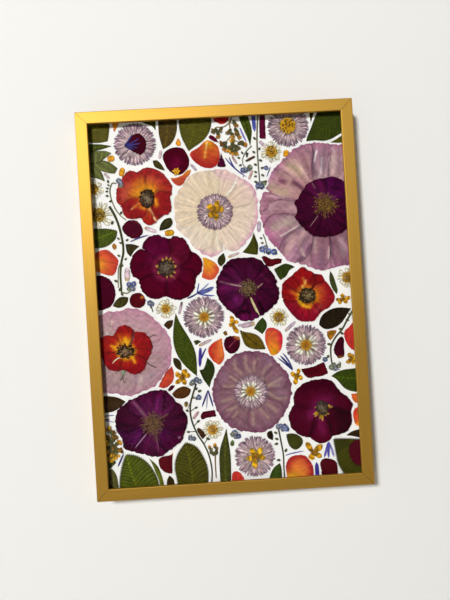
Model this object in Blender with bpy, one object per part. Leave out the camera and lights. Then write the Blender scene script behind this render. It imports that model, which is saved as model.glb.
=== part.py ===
"""A4 frame of anodised aluminium with dried, pressed flowers between its glass and a white card.

It hangs upright. X runs to the right, Z up, and the face looks towards -Y. The back of the rails
lies in the plane Y = 0, which is the wall, and the origin is the nail under the hanger's middle tooth.

The rails are one extruded section, mitred at the corners: a front flange over the glass, an outer
wall, and a channel at the back that holds the corner plates and the hanger.
"""

import math

import bmesh
import bpy
from mathutils import Vector
from mathutils.geometry import interpolate_bezier

MM = 0.001

# Driving sizes of the frame.
WIDTH = 219 * MM
HEIGHT = 306 * MM
DEPTH = 20 * MM
FACE_WIDTH = 9.5 * MM
FLANGE = 2.0 * MM  # thickness of the front flange
WALL = 1.4 * MM  # thickness of the outer wall
WEB_FRONT = 13.0 * MM  # depth of the channel's front wall
WEB = 1.2 * MM
REAR_LIP = 1.4 * MM
REAR_LIP_REACH = 4.0 * MM
ARRIS = 0.6 * MM  # radius of the face's two long edges
ARRIS_STEPS = 4
MITRE_GAP = 0.3 * MM
GAP = 0.25 * MM  # air left between pieces that rest on each other

# The sheets held in the rails, A4 with a little play.
SHEET_WIDTH = 210 * MM
SHEET_HEIGHT = 297 * MM
SHEET_PLAY = 0.3 * MM  # air at each edge of the glass and the board
REST = 0.2 * MM  # air in front of the glass and behind it
GLASS_THICK = 1.8 * MM
CARD_THICK = 0.8 * MM
BOARD_THICK = 3.0 * MM

# Specimens lie in up to three layers on the card.
LAYERS = 3
SPECIMEN_THICK = 0.35 * MM
LAYER_PITCH = SPECIMEN_THICK + GAP
TRIM = 1.0 * MM  # specimens stop this far inside the card's edge

GLASS_FRONT = FLANGE + REST
GLASS_BACK = GLASS_FRONT + GLASS_THICK
CARD_FRONT = GLASS_BACK + LAYERS * LAYER_PITCH + REST
CARD_BACK = CARD_FRONT + CARD_THICK
BOARD_FRONT = CARD_BACK + GAP
BOARD_BACK = BOARD_FRONT + BOARD_THICK
CHANNEL_FRONT = WEB_FRONT + WEB
CHANNEL_BACK = DEPTH - REAR_LIP

# Corner plates and their screws, in the channel.
PLATE_ARM = 32 * MM
PLATE_WIDTH = 7.5 * MM
PLATE_THICK = 2.0 * MM
PLATE_PLAY = 0.3 * MM
PLATE_CHAMFER = 1.2 * MM
SCREW_INSET = 6.6 * MM  # from the frame's outer face
SCREW_FROM_CORNER = (15 * MM, 15 * MM)
SCREW_SHANK = 1.6 * MM
SCREW_HEAD = 2.2 * MM
SCREW_HEAD_HIGH = 1.5 * MM
SCREW_SLOT = (0.7 * MM, 0.8 * MM)
SCREW_HOLE = 1.9 * MM
ROUND_SIDES = 16

# Bowed spring clips between the board and the channel's web.
CLIP_LENGTH = 38 * MM
CLIP_WIDTH = 15 * MM
CLIP_THICK = 0.5 * MM
CLIP_STEPS = 10
CLIP_INSET = 3.5 * MM
CLIP_UP = 78 * MM  # height of the side clips above and below the middle

# Toothed hanger, in the top rail's channel.
HANGER_WIDTH = 48 * MM
HANGER_TONGUE = 40 * MM
HANGER_THICK = 1.2 * MM
HANGER_TAB = 2.0 * MM
HANGER_TOP = 1.7 * MM  # below the frame's top edge
HANGER_SHOULDER = 9.0 * MM
HANGER_BOTTOM = 15.0 * MM
TOOTH_COUNT = 9
TOOTH_HIGH = 1.4 * MM

NAIL_BELOW_TOP = HANGER_BOTTOM - TOOTH_HIGH
MIDDLE_Z = NAIL_BELOW_TOP - HEIGHT / 2

CORNER_TURN = math.radians(48)  # an outline that turns by more than this has a sharp point there

MATERIALS = {
    "gold": ((0.56, 0.36, 0.09), 0.32, 1.0),
    "zinc": ((0.45, 0.46, 0.47), 0.42, 1.0),
    "spring": ((0.30, 0.31, 0.33), 0.35, 1.0),
    "glass": ((0.95, 0.97, 0.96), 0.03, 0.0),
    "card": ((0.93, 0.93, 0.92), 0.85, 0.0),
    "board": ((0.30, 0.19, 0.11), 0.80, 0.0),
    "lilac": ((0.42, 0.34, 0.42), 0.70, 0.0),
    "maroon": ((0.06, 0.005, 0.02), 0.60, 0.0),
    "purple": ((0.05, 0.01, 0.04), 0.65, 0.0),
    "red": ((0.50, 0.03, 0.01), 0.60, 0.0),
    "orange": ((0.65, 0.16, 0.05), 0.60, 0.0),
    "cream": ((0.70, 0.58, 0.42), 0.70, 0.0),
    "mauve": ((0.25, 0.12, 0.19), 0.65, 0.0),
    "pink": ((0.42, 0.22, 0.27), 0.65, 0.0),
    "green": ((0.07, 0.10, 0.02), 0.60, 0.0),
    "olive": ((0.10, 0.09, 0.02), 0.65, 0.0),
    "brown": ((0.05, 0.035, 0.01), 0.65, 0.0),
}

# Rayed flowers: layer, middle and radius in mm, from the middle of the frame.
ASTERS = {
    "aster_top_left": (1, (-64.5, 127.3), 17.6),
    "aster_top_right": (1, (58.5, 135.3), 17.3),
    "aster_on_cream_flower": (2, (-4.0, 70.0), 15.2),
    "aster_with_daisy_left": (1, (-17.8, -13.3), 17.2),
    "aster_with_daisy_right": (1, (62.5, -40.5), 17.0),
    "aster_on_mauve_flower": (2, (16.2, -75.0), 14.5),
    "aster_bottom": (1, (16.5, -126.8), 17.0),
}
ASTER_SCALLOPS = 15
ASTER_SCALLOP_DEEP = 0.7
STEPS_PER_SCALLOP = 4

# Every other main specimen: layer, material and outline in mm, from the middle of the frame.
# Those that reach past the card are trimmed at its edge.
PIECES = {
    "petal_on_aster": (2, "maroon", (
        (-73, 126.5), (-69, 131.5), (-64, 135.5), (-60, 135.3), (-56.5, 131.5), (-55.3, 127),
        (-57, 121), (-60.5, 118.8), (-64, 120), (-69, 123.5),
    )),
    "red_flower_left": (1, "red", (
        (-81, 92), (-78, 98), (-74, 104), (-69.5, 107), (-63.5, 105.2), (-59, 107.8),
        (-54, 108.2), (-49, 106.5), (-43.5, 103), (-39.5, 97.5), (-36.8, 92.5), (-37.5, 87),
        (-39, 83), (-38.3, 77), (-38.6, 72.5), (-41.5, 70.3), (-46, 69), (-50, 65.5),
        (-55, 62.3), (-60, 63.5), (-63, 68.5), (-70, 68), (-75, 69.5), (-77, 73.5),
        (-78, 77.5), (-81.5, 82),
    )),
    "cream_flower": (1, "cream", (
        (0, 103.8), (7, 103), (13, 99.5), (19, 95.5), (25, 91.5), (29, 86), (30.8, 78),
        (30.2, 71), (30.2, 64), (28, 57), (24, 50), (19, 44), (14, 39.5), (8, 38),
        (2, 39.5), (-4, 35.5), (-9, 34.4), (-14.5, 36.2), (-18.5, 39.5), (-22.5, 42.8),
        (-25, 47), (-27.5, 51), (-31.5, 54), (-34.5, 57.5), (-35.8, 62), (-36, 73),
        (-36, 80), (-34, 85), (-30, 90.5), (-25, 97), (-20, 101), (-13, 103), (-6, 103.2),
    )),
    "ruffled_flower": (1, "pink", (
        (39, 88), (43, 99), (52, 107.5), (61, 115.8), (66, 118.3), (72, 120), (84, 120.3),
        (97, 118), (108, 118), (108, 22), (95, 21.3), (86, 19.3), (80, 18.5), (75, 19.2),
        (71.5, 20.8), (68, 22.4), (61, 25), (54, 26.7), (50, 29.5), (45.5, 36.5),
        (40.5, 41.5), (38, 45), (35.5, 50), (34, 55), (33.3, 60), (31.9, 65), (31.9, 71),
        (33, 77), (35, 82),
    )),
    "rose_on_ruffled_flower": (2, "purple", (
        (59.5, 73), (65, 80), (70, 87), (74, 89.5), (80, 91.5), (86, 91.8), (92, 92.8),
        (98, 90), (106, 83), (110, 70), (106, 56), (98, 49), (94, 46.5), (83, 45),
        (73, 46.5), (66, 53), (61, 58.5), (59.5, 62), (62, 67),
    )),
    "burgundy_flower_left": (1, "maroon", (
        (-63.5, 44), (-62, 49), (-57, 53.3), (-50, 54.3), (-42.8, 50.7), (-38, 52.5),
        (-34, 51.8), (-30, 50), (-27.5, 46.5), (-24.8, 40), (-20.5, 37.5), (-17, 33),
        (-16.3, 28), (-17.5, 23), (-22.3, 18), (-23, 12), (-27, 5.5), (-33, 2), (-40, 1.8),
        (-47, 5), (-53, 3.3), (-59, 4), (-64, 8), (-67, 14), (-67.5, 19.5), (-72, 22.5),
        (-74.2, 30), (-71.5, 38.5), (-67, 43),
    )),
    "rose_middle": (1, "purple", (
        (-0.5, 25), (4, 30), (10, 32), (16, 32), (24, 32), (29, 30), (33, 26.5), (38.5, 19.5),
        (42.3, 12), (43.6, 8), (42.8, -3), (39, -7.5), (31, -13.5), (22, -17.8), (17, -18.7),
        (11, -17.5), (8, -15), (5, -11), (1, -8), (-5, 0), (-6.5, 6), (-6.4, 12), (-5.3, 17),
        (-2.5, 21),
    )),
    "red_flower_right": (1, "red", (
        (47, 10), (52, 14), (55.5, 16.5), (60, 20.5), (63, 21.8), (66, 20.8), (72, 16.5),
        (78, 15), (81, 10.5), (86, 2.5), (88, -3), (86, -8.5), (81, -12.7), (75.5, -15.3),
        (73, -19), (69, -22), (62, -21.6), (57, -20), (51, -13), (46.3, -5), (45.4, 0),
        (45.8, 6),
    )),
    "pale_lilac_flower": (1, "pink", (
        (-108, -9), (-98, -6.5), (-93, -4.3), (-85, -5), (-80, -3.2), (-74, -3), (-68, -4.7),
        (-62, -8), (-56, -14), (-50, -20.5), (-46.3, -27), (-44.9, -34), (-45.4, -41),
        (-47, -51), (-52, -57), (-60, -66), (-68, -68.8), (-77, -72.2), (-84, -72),
        (-91, -70), (-98, -69), (-108, -68.5),
    )),
    "red_flower_on_lilac_flower": (2, "red", (
        (-101, -26), (-96, -23.2), (-90, -24), (-88, -20), (-84.5, -16.5), (-80, -16),
        (-76, -18), (-73.5, -21.3), (-66, -22.5), (-62, -27), (-60, -33), (-61, -38),
        (-65, -46), (-67, -51), (-71, -54.8), (-78, -55), (-83, -51.5), (-88, -52),
        (-93, -51.5), (-97.5, -48), (-99.5, -42), (-103, -36),
    )),
    "mauve_flower": (1, "mauve", (
        (-14.7, -76), (-13.6, -67.5), (-9.5, -58.5), (-6, -54), (-3, -50.3), (2, -46.4),
        (8, -43.7), (14, -42.6), (20, -43), (27, -44), (34, -47.5), (39.5, -54), (44, -59),
        (47, -63.5), (49, -73), (48.4, -79), (46.6, -86), (43.5, -92), (39.5, -97.5),
        (34, -103), (27, -106.8), (20, -108.3), (14, -107), (7, -106), (0, -103),
        (-6, -98), (-10, -92), (-12.7, -85),
    )),
    "rose_bottom_left": (1, "purple", (
        (-91.5, -85), (-88, -80.8), (-83.5, -78), (-81, -76), (-77, -74.6), (-69, -71.2),
        (-64, -69.7), (-55, -69), (-50, -71), (-44, -79), (-40, -82), (-38.5, -86),
        (-36, -91), (-35.7, -97), (-38.5, -104), (-39.8, -108.5), (-43, -112.5),
        (-48, -115.5), (-55, -120.5), (-60, -122.3), (-66, -121.5), (-72, -119.5),
        (-78, -117.8), (-83, -116), (-88, -113.5), (-88, -107), (-91, -102), (-93, -96),
    )),
    "burgundy_flower_right": (1, "maroon", (
        (50.3, -79.5), (53, -75.5), (57, -72), (62, -69.8), (74, -68.3), (80, -69.6),
        (83.3, -72.5), (88, -79.8), (91, -82), (95.5, -86.5), (97, -91), (95.5, -96),
        (96, -101), (95, -106), (92, -111), (86, -113.5), (79.5, -114.7), (77, -118),
        (73, -119.5), (68, -119.7), (61, -114.7), (55, -113.3), (50, -109.5), (47, -106),
        (45.4, -100), (45.3, -95), (49.6, -88),
    )),
    "leaf_top_left": (1, "green", (
        (-106, 150), (-83.7, 150), (-83.8, 143), (-85, 135), (-86, 131), (-94, 130), (-106, 131.5),
    )),
    "lobed_leaf": (1, "green", (
        (-106, 122.5), (-96, 123.5), (-88, 123.3), (-83.5, 121.3), (-91, 116), (-86, 114.5),
        (-82, 111.5), (-79.3, 109), (-81.7, 105), (-87, 105.6), (-93, 108), (-91.2, 104),
        (-90, 99), (-95, 101.5), (-106, 104.5),
    )),
    "brown_leaf_top": (1, "brown", (
        (-44.7, 150), (-45, 135), (-43.8, 128), (-42.3, 122.3), (-36.5, 125.5), (-32.5, 131),
        (-30.3, 138), (-30, 150),
    )),
    "leaf_top_middle": (1, "green", (
        (-28, 150), (-28.5, 140), (-27.3, 132), (-25, 126), (-22, 119.7), (-17, 123), (-11, 126.7),
        (-6, 132), (-3, 139), (-2, 150),
    )),
    "leaf_top_right": (1, "green", (
        (85.5, 150), (80, 140), (76.5, 132), (73.5, 126), (72.5, 122.4), (80, 122.8),
        (86, 122), (92, 123), (97, 125.5), (106, 130.5), (106, 150),
    )),
    "maroon_petal_top": (1, "maroon", (
        (-43, 115), (-41.5, 119.5), (-38, 122), (-32, 123.2), (-27, 122.2), (-24, 118.5),
        (-22, 112), (-23, 107), (-27.5, 102.3), (-32, 101), (-36, 102.5), (-40, 107),
    )),
    "orange_petal_top": (1, "orange", (
        (-21.5, 116.5), (-20, 119), (-14, 122), (-10, 125.8), (-7, 127.5), (-3, 126.3),
        (1, 122.5), (2.5, 118), (2.3, 112), (0, 107.5), (-3.5, 105.4), (-9, 105.4),
        (-14, 107.7), (-19, 112),
    )),
    "long_leaf_middle": (1, "green", (
        (-40, -9), (-42, -18), (-43.2, -28), (-42.6, -36), (-40.3, -43), (-36, -50),
        (-31, -55.5), (-26, -60), (-25.6, -51), (-26, -42), (-28.7, -33), (-33, -24.5), (-37, -17),
    )),
    "brown_leaf_right": (1, "brown", (
        (74, -25), (75.3, -20), (79, -15.8), (86, -12.6), (93, -12.2), (100.5, -13.5), (97, -18),
        (93, -23.5), (88, -27.3), (81, -29), (77, -28),
    )),
    "orange_petal_middle": (1, "orange", (
        (31, -27.5), (34, -25), (38, -25.5), (43, -29), (44.3, -34), (43, -41), (41, -44.5),
        (37, -47), (34, -46.5), (31.5, -41), (30, -34),
    )),
    "leaf_right": (1, "green", (
        (81.3, -66.7), (86, -63.8), (93, -62), (108, -61.5), (108, -81), (101, -80.5),
        (95, -79), (91, -76.5), (88, -72.8), (85, -69),
    )),
    "leaf_bottom_left": (1, "green", (
        (-86, -118.8), (-80, -119.7), (-74, -122.5), (-69, -127), (-65, -133), (-62, -140),
        (-60.5, -150), (-93, -150), (-92, -138), (-90, -129), (-88, -123),
    )),
    "leaf_bottom_middle": (1, "green", (
        (-38.3, -112.3), (-34, -113.7), (-29, -117), (-25, -124), (-22.3, -131), (-21.5, -138),
        (-22.5, -150), (-45.5, -150), (-47, -139), (-48, -131), (-46.3, -124), (-43.8, -119),
        (-41, -115.5),
    )),
    "narrow_leaf_bottom": (1, "green", (
        (-5, -103), (-8, -111), (-11, -119), (-12.2, -128), (-12.3, -150), (-4, -150),
        (-3, -130), (-3.3, -120), (-4.3, -111),
    )),
    "leaf_bottom_right": (1, "olive", (
        (80, -116.8), (93, -117.5), (108, -119.5), (108, -150), (89, -150), (86, -143.5),
        (84, -140), (82.3, -135), (81, -125),
    )),
}


def clear_scene():
    for obj in list(bpy.data.objects):
        bpy.data.objects.remove(obj, do_unlink=True)


def make_materials():
    for name, (colour, roughness, metallic) in MATERIALS.items():
        made = bpy.data.materials.new(name)
        made.use_nodes = True
        shader = made.node_tree.nodes["Principled BSDF"]
        shader.inputs["Base Color"].default_value = (*colour, 1)
        shader.inputs["Roughness"].default_value = roughness
        shader.inputs["Metallic"].default_value = metallic


def at(x, z, depth):
    """World place of a point x to the right of and z above the frame's middle, depth behind its face."""
    return Vector((x, depth - DEPTH, MIDDLE_Z + z))


def add_object(name, bm, material, parent=None):
    """A named object from bm, with its faces turned outwards."""
    bmesh.ops.recalc_face_normals(bm, faces=bm.faces)
    mesh = bpy.data.meshes.new(name)
    bm.to_mesh(mesh)
    bm.free()
    mesh.materials.append(bpy.data.materials[material])
    obj = bpy.data.objects.new(name, mesh)
    bpy.context.scene.collection.objects.link(obj)
    obj.parent = parent
    return obj


def add_holder(name):
    holder = bpy.data.objects.new(name, None)
    bpy.context.scene.collection.objects.link(holder)
    return holder


def prism(outline, front, back, keep=None):
    """A closed plate with this outline between two depths, trimmed to keep = (half width, half height)."""
    bm = bmesh.new()
    bm.faces.new([bm.verts.new(at(x, z, front)) for x, z in outline])
    if keep:
        for side, axis in ((1, 0), (-1, 0), (1, 2), (-1, 2)):
            normal = Vector((0, 0, 0))
            normal[axis] = side
            edge = at(side * keep[0], side * keep[1], front)
            geom = bm.verts[:] + bm.edges[:] + bm.faces[:]
            bmesh.ops.bisect_plane(bm, geom=geom, plane_co=edge, plane_no=normal, clear_outer=True)
    extruded = bmesh.ops.extrude_face_region(bm, geom=bm.faces[:])["geom"]
    new_verts = [item for item in extruded if isinstance(item, bmesh.types.BMVert)]
    bmesh.ops.translate(bm, verts=new_verts, vec=(0, back - front, 0))
    return bm


def turn_at(before, here, after):
    first = Vector(here) - Vector(before)
    second = Vector(after) - Vector(here)
    return first.angle(second, 0)


def smooth_outline(points, steps=2):
    """A closed curve in metres through points in mm, with a sharp point where the outline turns hard."""
    count = len(points)
    tangents = []
    for i, here in enumerate(points):
        before = points[i - 1]
        after = points[(i + 1) % count]
        sharp = turn_at(before, here, after) > CORNER_TURN
        tangents.append(None if sharp else (Vector(after) - Vector(before)).normalized())
    curve = []
    for i, start in enumerate(points):
        end = points[(i + 1) % count]
        start, end = Vector(start), Vector(end)
        reach = (end - start).length / 3
        chord = (end - start).normalized()
        leave = tangents[i] or chord
        arrive = tangents[(i + 1) % count] or chord
        span = interpolate_bezier(start, start + leave * reach, end - arrive * reach, end, steps + 1)
        curve += [point * MM for point in span[:-1]]
    return [(point.x, point.y) for point in curve]


def scalloped_outline(middle, radius):
    """A round flower's outline, with a shallow scallop for each bunch of rays."""
    steps = ASTER_SCALLOPS * STEPS_PER_SCALLOP
    outline = []
    for i in range(steps):
        angle = 2 * math.pi * i / steps
        scallop = abs(math.sin(angle * ASTER_SCALLOPS / 2))
        reach = radius - ASTER_SCALLOP_DEEP * (1 - scallop)
        x = middle[0] + reach * math.cos(angle)
        z = middle[1] + reach * math.sin(angle)
        outline.append((x * MM, z * MM))
    return outline


def layer_depths(layer):
    """Front and back of a specimen in this layer, counted from the card."""
    back = CARD_FRONT - GAP - (layer - 1) * LAYER_PITCH
    return back - SPECIMEN_THICK, back


def make_specimens():
    holder = add_holder("specimens")
    keep = (SHEET_WIDTH / 2 - TRIM, SHEET_HEIGHT / 2 - TRIM)
    for name, (layer, middle, radius) in ASTERS.items():
        plate = prism(scalloped_outline(middle, radius), *layer_depths(layer), keep)
        add_object(name, plate, "lilac", holder)
    for name, (layer, material, points) in PIECES.items():
        plate = prism(smooth_outline(points), *layer_depths(layer), keep)
        add_object(name, plate, material, holder)


def rail_section():
    """The extrusion's section, as (distance in from the outer face, depth) pairs in order."""
    section = []
    for corner, start in ((ARRIS, math.pi), (FACE_WIDTH - ARRIS, 1.5 * math.pi)):
        for i in range(ARRIS_STEPS + 1):
            angle = start + math.pi / 2 * i / ARRIS_STEPS
            section.append((corner + ARRIS * math.cos(angle), ARRIS + ARRIS * math.sin(angle)))
    section += [
        (FACE_WIDTH, FLANGE),
        (WALL, FLANGE),
        (WALL, WEB_FRONT),
        (FACE_WIDTH, WEB_FRONT),
        (FACE_WIDTH, CHANNEL_FRONT),
        (WALL, CHANNEL_FRONT),
        (WALL, CHANNEL_BACK),
        (REAR_LIP_REACH, CHANNEL_BACK),
        (REAR_LIP_REACH, DEPTH),
        (0, DEPTH),
    ]
    return section


def make_rail(name, side, holder):
    """One mitred rail. side is the unit (x, z) from the frame's middle to the rail."""
    half_out = WIDTH / 2 if side[0] else HEIGHT / 2
    half_long = HEIGHT / 2 if side[0] else WIDTH / 2
    bm = bmesh.new()
    rings = []
    for end in (-1, 1):
        ring = []
        for inset, depth in rail_section():
            out = half_out - inset
            along = end * (half_long - inset - MITRE_GAP / 2)
            x = side[0] * out - side[1] * along
            z = side[1] * out + side[0] * along
            ring.append(bm.verts.new(at(x, z, depth)))
        rings.append(ring)
    count = len(rings[0])
    for i in range(count):
        j = (i + 1) % count
        bm.faces.new((rings[0][i], rings[0][j], rings[1][j], rings[1][i]))
    bm.faces.new(rings[0])
    bm.faces.new(rings[1])
    add_object(name, bm, "gold", holder)


def make_rails():
    holder = add_holder("rails")
    sides = {"rail_top": (0, 1), "rail_bottom": (0, -1), "rail_left": (-1, 0), "rail_right": (1, 0)}
    for name, side in sides.items():
        make_rail(name, side, holder)


def sheet(name, width, height, front, back, material):
    half_x, half_z = width / 2, height / 2
    outline = ((-half_x, -half_z), (half_x, -half_z), (half_x, half_z), (-half_x, half_z))
    add_object(name, prism(outline, front, back), material)


def make_sheets():
    glass_width = SHEET_WIDTH - 2 * SHEET_PLAY
    glass_height = SHEET_HEIGHT - 2 * SHEET_PLAY
    sheet("glass", glass_width, glass_height, GLASS_FRONT, GLASS_BACK, "glass")
    sheet("mount_card", SHEET_WIDTH, SHEET_HEIGHT, CARD_FRONT, CARD_BACK, "card")
    sheet("backing_board", glass_width, glass_height, BOARD_FRONT, BOARD_BACK, "board")


def cylinder(bm, middle, radius, front, back):
    """A closed cylinder along Y in bm, between two depths."""
    ring = []
    for i in range(ROUND_SIDES):
        angle = 2 * math.pi * i / ROUND_SIDES
        place = at(middle[0] + radius * math.cos(angle), middle[1] + radius * math.sin(angle), front)
        ring.append(bm.verts.new(place))
    face = bm.faces.new(ring)
    extruded = bmesh.ops.extrude_face_region(bm, geom=[face])["geom"]
    new_verts = [item for item in extruded if isinstance(item, bmesh.types.BMVert)]
    bmesh.ops.translate(bm, verts=new_verts, vec=(0, back - front, 0))


def cut(obj, name, bm, operation="DIFFERENCE"):
    """A Boolean of obj with the hidden shape in bm."""
    cutter = add_object(name, bm, "zinc")
    cutter.hide_render = True
    cutter.display_type = "WIRE"
    boolean = obj.modifiers.new(name, "BOOLEAN")
    boolean.operation = operation
    boolean.object = cutter


def screw_places(side_x, side_z):
    """Middles of a corner's two screws, one in each rail."""
    along_x, along_z = SCREW_FROM_CORNER
    return (
        (side_x * (WIDTH / 2 - along_x), side_z * (HEIGHT / 2 - SCREW_INSET)),
        (side_x * (WIDTH / 2 - SCREW_INSET), side_z * (HEIGHT / 2 - along_z)),
    )


def make_screw(name, middle, holder):
    plate_back = CHANNEL_FRONT + GAP + PLATE_THICK
    head_front = plate_back + GAP
    head_back = head_front + SCREW_HEAD_HIGH
    shank = bmesh.new()
    cylinder(shank, middle, SCREW_SHANK, CHANNEL_FRONT + GAP, head_front + SCREW_HEAD_HIGH / 2)
    screw = add_object(name, shank, "zinc", holder)
    head = bmesh.new()
    cylinder(head, middle, SCREW_HEAD, head_front, head_back)
    cut(screw, name + "_head", head, "UNION")
    half_wide = SCREW_SLOT[0] / 2
    half_long = SCREW_HEAD * 1.5
    x, z = middle
    slot = (
        (x - half_long, z - half_wide),
        (x + half_long, z - half_wide),
        (x + half_long, z + half_wide),
        (x - half_long, z + half_wide),
    )
    cut(screw, name + "_slot", prism(slot, head_back - SCREW_SLOT[1], head_back + SCREW_SLOT[1]))


def make_corner(name, side_x, side_z, holder):
    """An L-shaped plate in two rails' channels, with its two screws."""
    near = WALL + PLATE_PLAY
    far = near + PLATE_WIDTH
    arm = PLATE_ARM
    steps = (
        (near, near + PLATE_CHAMFER),
        (near + PLATE_CHAMFER, near),
        (arm - PLATE_CHAMFER, near),
        (arm, near + PLATE_CHAMFER),
        (arm, far - PLATE_CHAMFER),
        (arm - PLATE_CHAMFER, far),
        (far, far),
        (far, arm - PLATE_CHAMFER),
        (far - PLATE_CHAMFER, arm),
        (near + PLATE_CHAMFER, arm),
        (near, arm - PLATE_CHAMFER),
    )
    outline = [(side_x * (WIDTH / 2 - x), side_z * (HEIGHT / 2 - z)) for x, z in steps]
    front = CHANNEL_FRONT + GAP
    shape = prism(outline, front, front + PLATE_THICK)
    plate = add_object("corner_plate_" + name, shape, "zinc", holder)
    for number, middle in enumerate(screw_places(side_x, side_z), 1):
        hole = bmesh.new()
        cylinder(hole, middle, SCREW_HOLE, front - PLATE_THICK, front + 2 * PLATE_THICK)
        cut(plate, f"hole_{name}_{number}", hole)
        make_screw(f"screw_{name}_{number}", middle, holder)


def make_corners():
    holder = add_holder("corners")
    for name, side_x, side_z in (
        ("top_left", -1, 1),
        ("top_right", 1, 1),
        ("bottom_left", -1, -1),
        ("bottom_right", 1, -1),
    ):
        make_corner(name, side_x, side_z, holder)


def make_clip(name, side, up, holder):
    """A leaf spring that runs along a side rail. side is -1 or 1, up its middle's height."""
    near = side * (WIDTH / 2 - CLIP_INSET)
    far = side * (WIDTH / 2 - CLIP_INSET - CLIP_WIDTH)
    touch_board = BOARD_BACK + GAP + CLIP_THICK
    touch_web = WEB_FRONT - GAP
    bm = bmesh.new()
    rows = []
    for i in range(CLIP_STEPS + 1):
        share = 2 * i / CLIP_STEPS - 1
        z = up + share * CLIP_LENGTH / 2
        back = touch_board + (touch_web - touch_board) * share * share
        front = back - CLIP_THICK
        corners = ((near, front), (far, front), (far, back), (near, back))
        rows.append([bm.verts.new(at(x, z, depth)) for x, depth in corners])
    for lower, upper in zip(rows, rows[1:]):
        for i in range(4):
            j = (i + 1) % 4
            bm.faces.new((lower[i], lower[j], upper[j], upper[i]))
    bm.faces.new(rows[0])
    bm.faces.new(rows[-1])
    add_object(name, bm, "spring", holder)


def make_clips():
    holder = add_holder("clips")
    for height, up in (("upper", CLIP_UP), ("lower", -CLIP_UP)):
        make_clip(f"spring_clip_{height}_left", -1, up, holder)
        make_clip(f"spring_clip_{height}_right", 1, up, holder)


def make_hanger():
    """A toothed plate whose bent ends jam in the top rail's channel."""
    top = HEIGHT / 2 - HANGER_TOP
    shoulder = HEIGHT / 2 - HANGER_SHOULDER
    bottom = HEIGHT / 2 - HANGER_BOTTOM
    half, tongue = HANGER_WIDTH / 2, HANGER_TONGUE / 2
    outline = [
        (-tongue, shoulder),
        (-half, shoulder),
        (-half, top),
        (half, top),
        (half, shoulder),
        (tongue, shoulder),
    ]
    pitch = 2 * tongue / TOOTH_COUNT
    for i in range(TOOTH_COUNT):
        right = tongue - i * pitch
        outline += [(right, bottom), (right - pitch / 2, bottom + TOOTH_HIGH)]
    outline.append((-tongue, bottom))
    front = CHANNEL_FRONT + GAP
    hanger = add_object("hanger", prism(outline, front, front + HANGER_THICK), "zinc")
    for name, side in (("left", -1), ("right", 1)):
        outer, inner = side * half, side * (half - HANGER_TAB)
        ends = ((outer, shoulder), (outer, top), (inner, top), (inner, shoulder))
        tab = prism(ends, front, CHANNEL_BACK - GAP)
        cut(hanger, f"hanger_tab_{name}", tab, "UNION")


def main():
    clear_scene()
    make_materials()
    make_rails()
    make_sheets()
    make_corners()
    make_clips()
    make_hanger()
    make_specimens()


main()
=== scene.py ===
"""Looks of an A4 frame of gold anodised aluminium with dried, pressed flowers behind its glass."""

import math

import bmesh
import bpy
import numpy as np
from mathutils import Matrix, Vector
from mathutils.geometry import delaunay_2d_cdt


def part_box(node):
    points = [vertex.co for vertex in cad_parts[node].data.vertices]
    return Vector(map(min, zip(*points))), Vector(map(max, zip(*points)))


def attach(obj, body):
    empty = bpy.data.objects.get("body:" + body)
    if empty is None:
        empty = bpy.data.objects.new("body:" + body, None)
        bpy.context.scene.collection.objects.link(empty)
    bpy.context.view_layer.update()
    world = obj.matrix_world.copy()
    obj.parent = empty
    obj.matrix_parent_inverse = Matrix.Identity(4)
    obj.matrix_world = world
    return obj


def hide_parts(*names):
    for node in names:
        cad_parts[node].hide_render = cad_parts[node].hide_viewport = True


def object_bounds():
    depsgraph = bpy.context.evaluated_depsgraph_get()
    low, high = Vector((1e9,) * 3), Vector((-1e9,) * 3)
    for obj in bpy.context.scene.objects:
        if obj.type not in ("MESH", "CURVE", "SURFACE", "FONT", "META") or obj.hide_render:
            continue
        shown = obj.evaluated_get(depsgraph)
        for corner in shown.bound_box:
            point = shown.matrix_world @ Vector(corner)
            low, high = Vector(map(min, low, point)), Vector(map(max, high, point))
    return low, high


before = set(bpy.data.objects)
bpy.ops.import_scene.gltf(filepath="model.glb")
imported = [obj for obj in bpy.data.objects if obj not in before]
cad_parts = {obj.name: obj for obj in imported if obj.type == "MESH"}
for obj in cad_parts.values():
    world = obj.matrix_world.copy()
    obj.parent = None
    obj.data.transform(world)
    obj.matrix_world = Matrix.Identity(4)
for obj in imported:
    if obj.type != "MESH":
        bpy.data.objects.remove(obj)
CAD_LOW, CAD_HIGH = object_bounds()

MM = 0.001
MIDDLE_Z = (CAD_LOW.z + CAD_HIGH.z) / 2
FACE_Y = CAD_LOW.y
CARD_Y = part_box("mount_card")[0][1]


# ---------------------------------------------------------------- materials


def rgb(code):
    """Red, green and blue of an sRGB hex colour, each from 0 to 1."""
    return np.array([int(code[i : i + 2], 16) for i in (0, 2, 4)]) / 255


def to_linear(values):
    """The linear values of sRGB ones."""
    return np.where(values <= 0.04045, values / 12.92, ((values + 0.055) / 1.055) ** 2.4)


def linear(code):
    """Linear red, green, blue, alpha of an sRGB hex colour."""
    return (*to_linear(rgb(code)).tolist(), 1.0)


def per_metre(size):
    """How often a pattern of this many mm repeats in a metre, the unit of Object coordinates."""
    return 1000 / size


def add_object(name, data):
    obj = bpy.data.objects.new(name, data)
    bpy.context.scene.collection.objects.link(obj)
    return obj


def select_only(obj):
    bpy.ops.object.select_all(action="DESELECT")
    obj.select_set(True)
    bpy.context.view_layer.objects.active = obj


def set_inputs(tree, node, **inputs):
    """Sets sockets by name, or by number as _0: to a value, or linked to a (node, output) pair."""
    for name, value in inputs.items():
        socket = node.inputs[int(name[1:])] if name[1:].isdigit() else node.inputs[name.replace("_", " ")]
        if isinstance(value, tuple) and isinstance(value[0], bpy.types.Node):
            tree.links.new(value[0].outputs[value[1]], socket)
        else:
            socket.default_value = value


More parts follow.
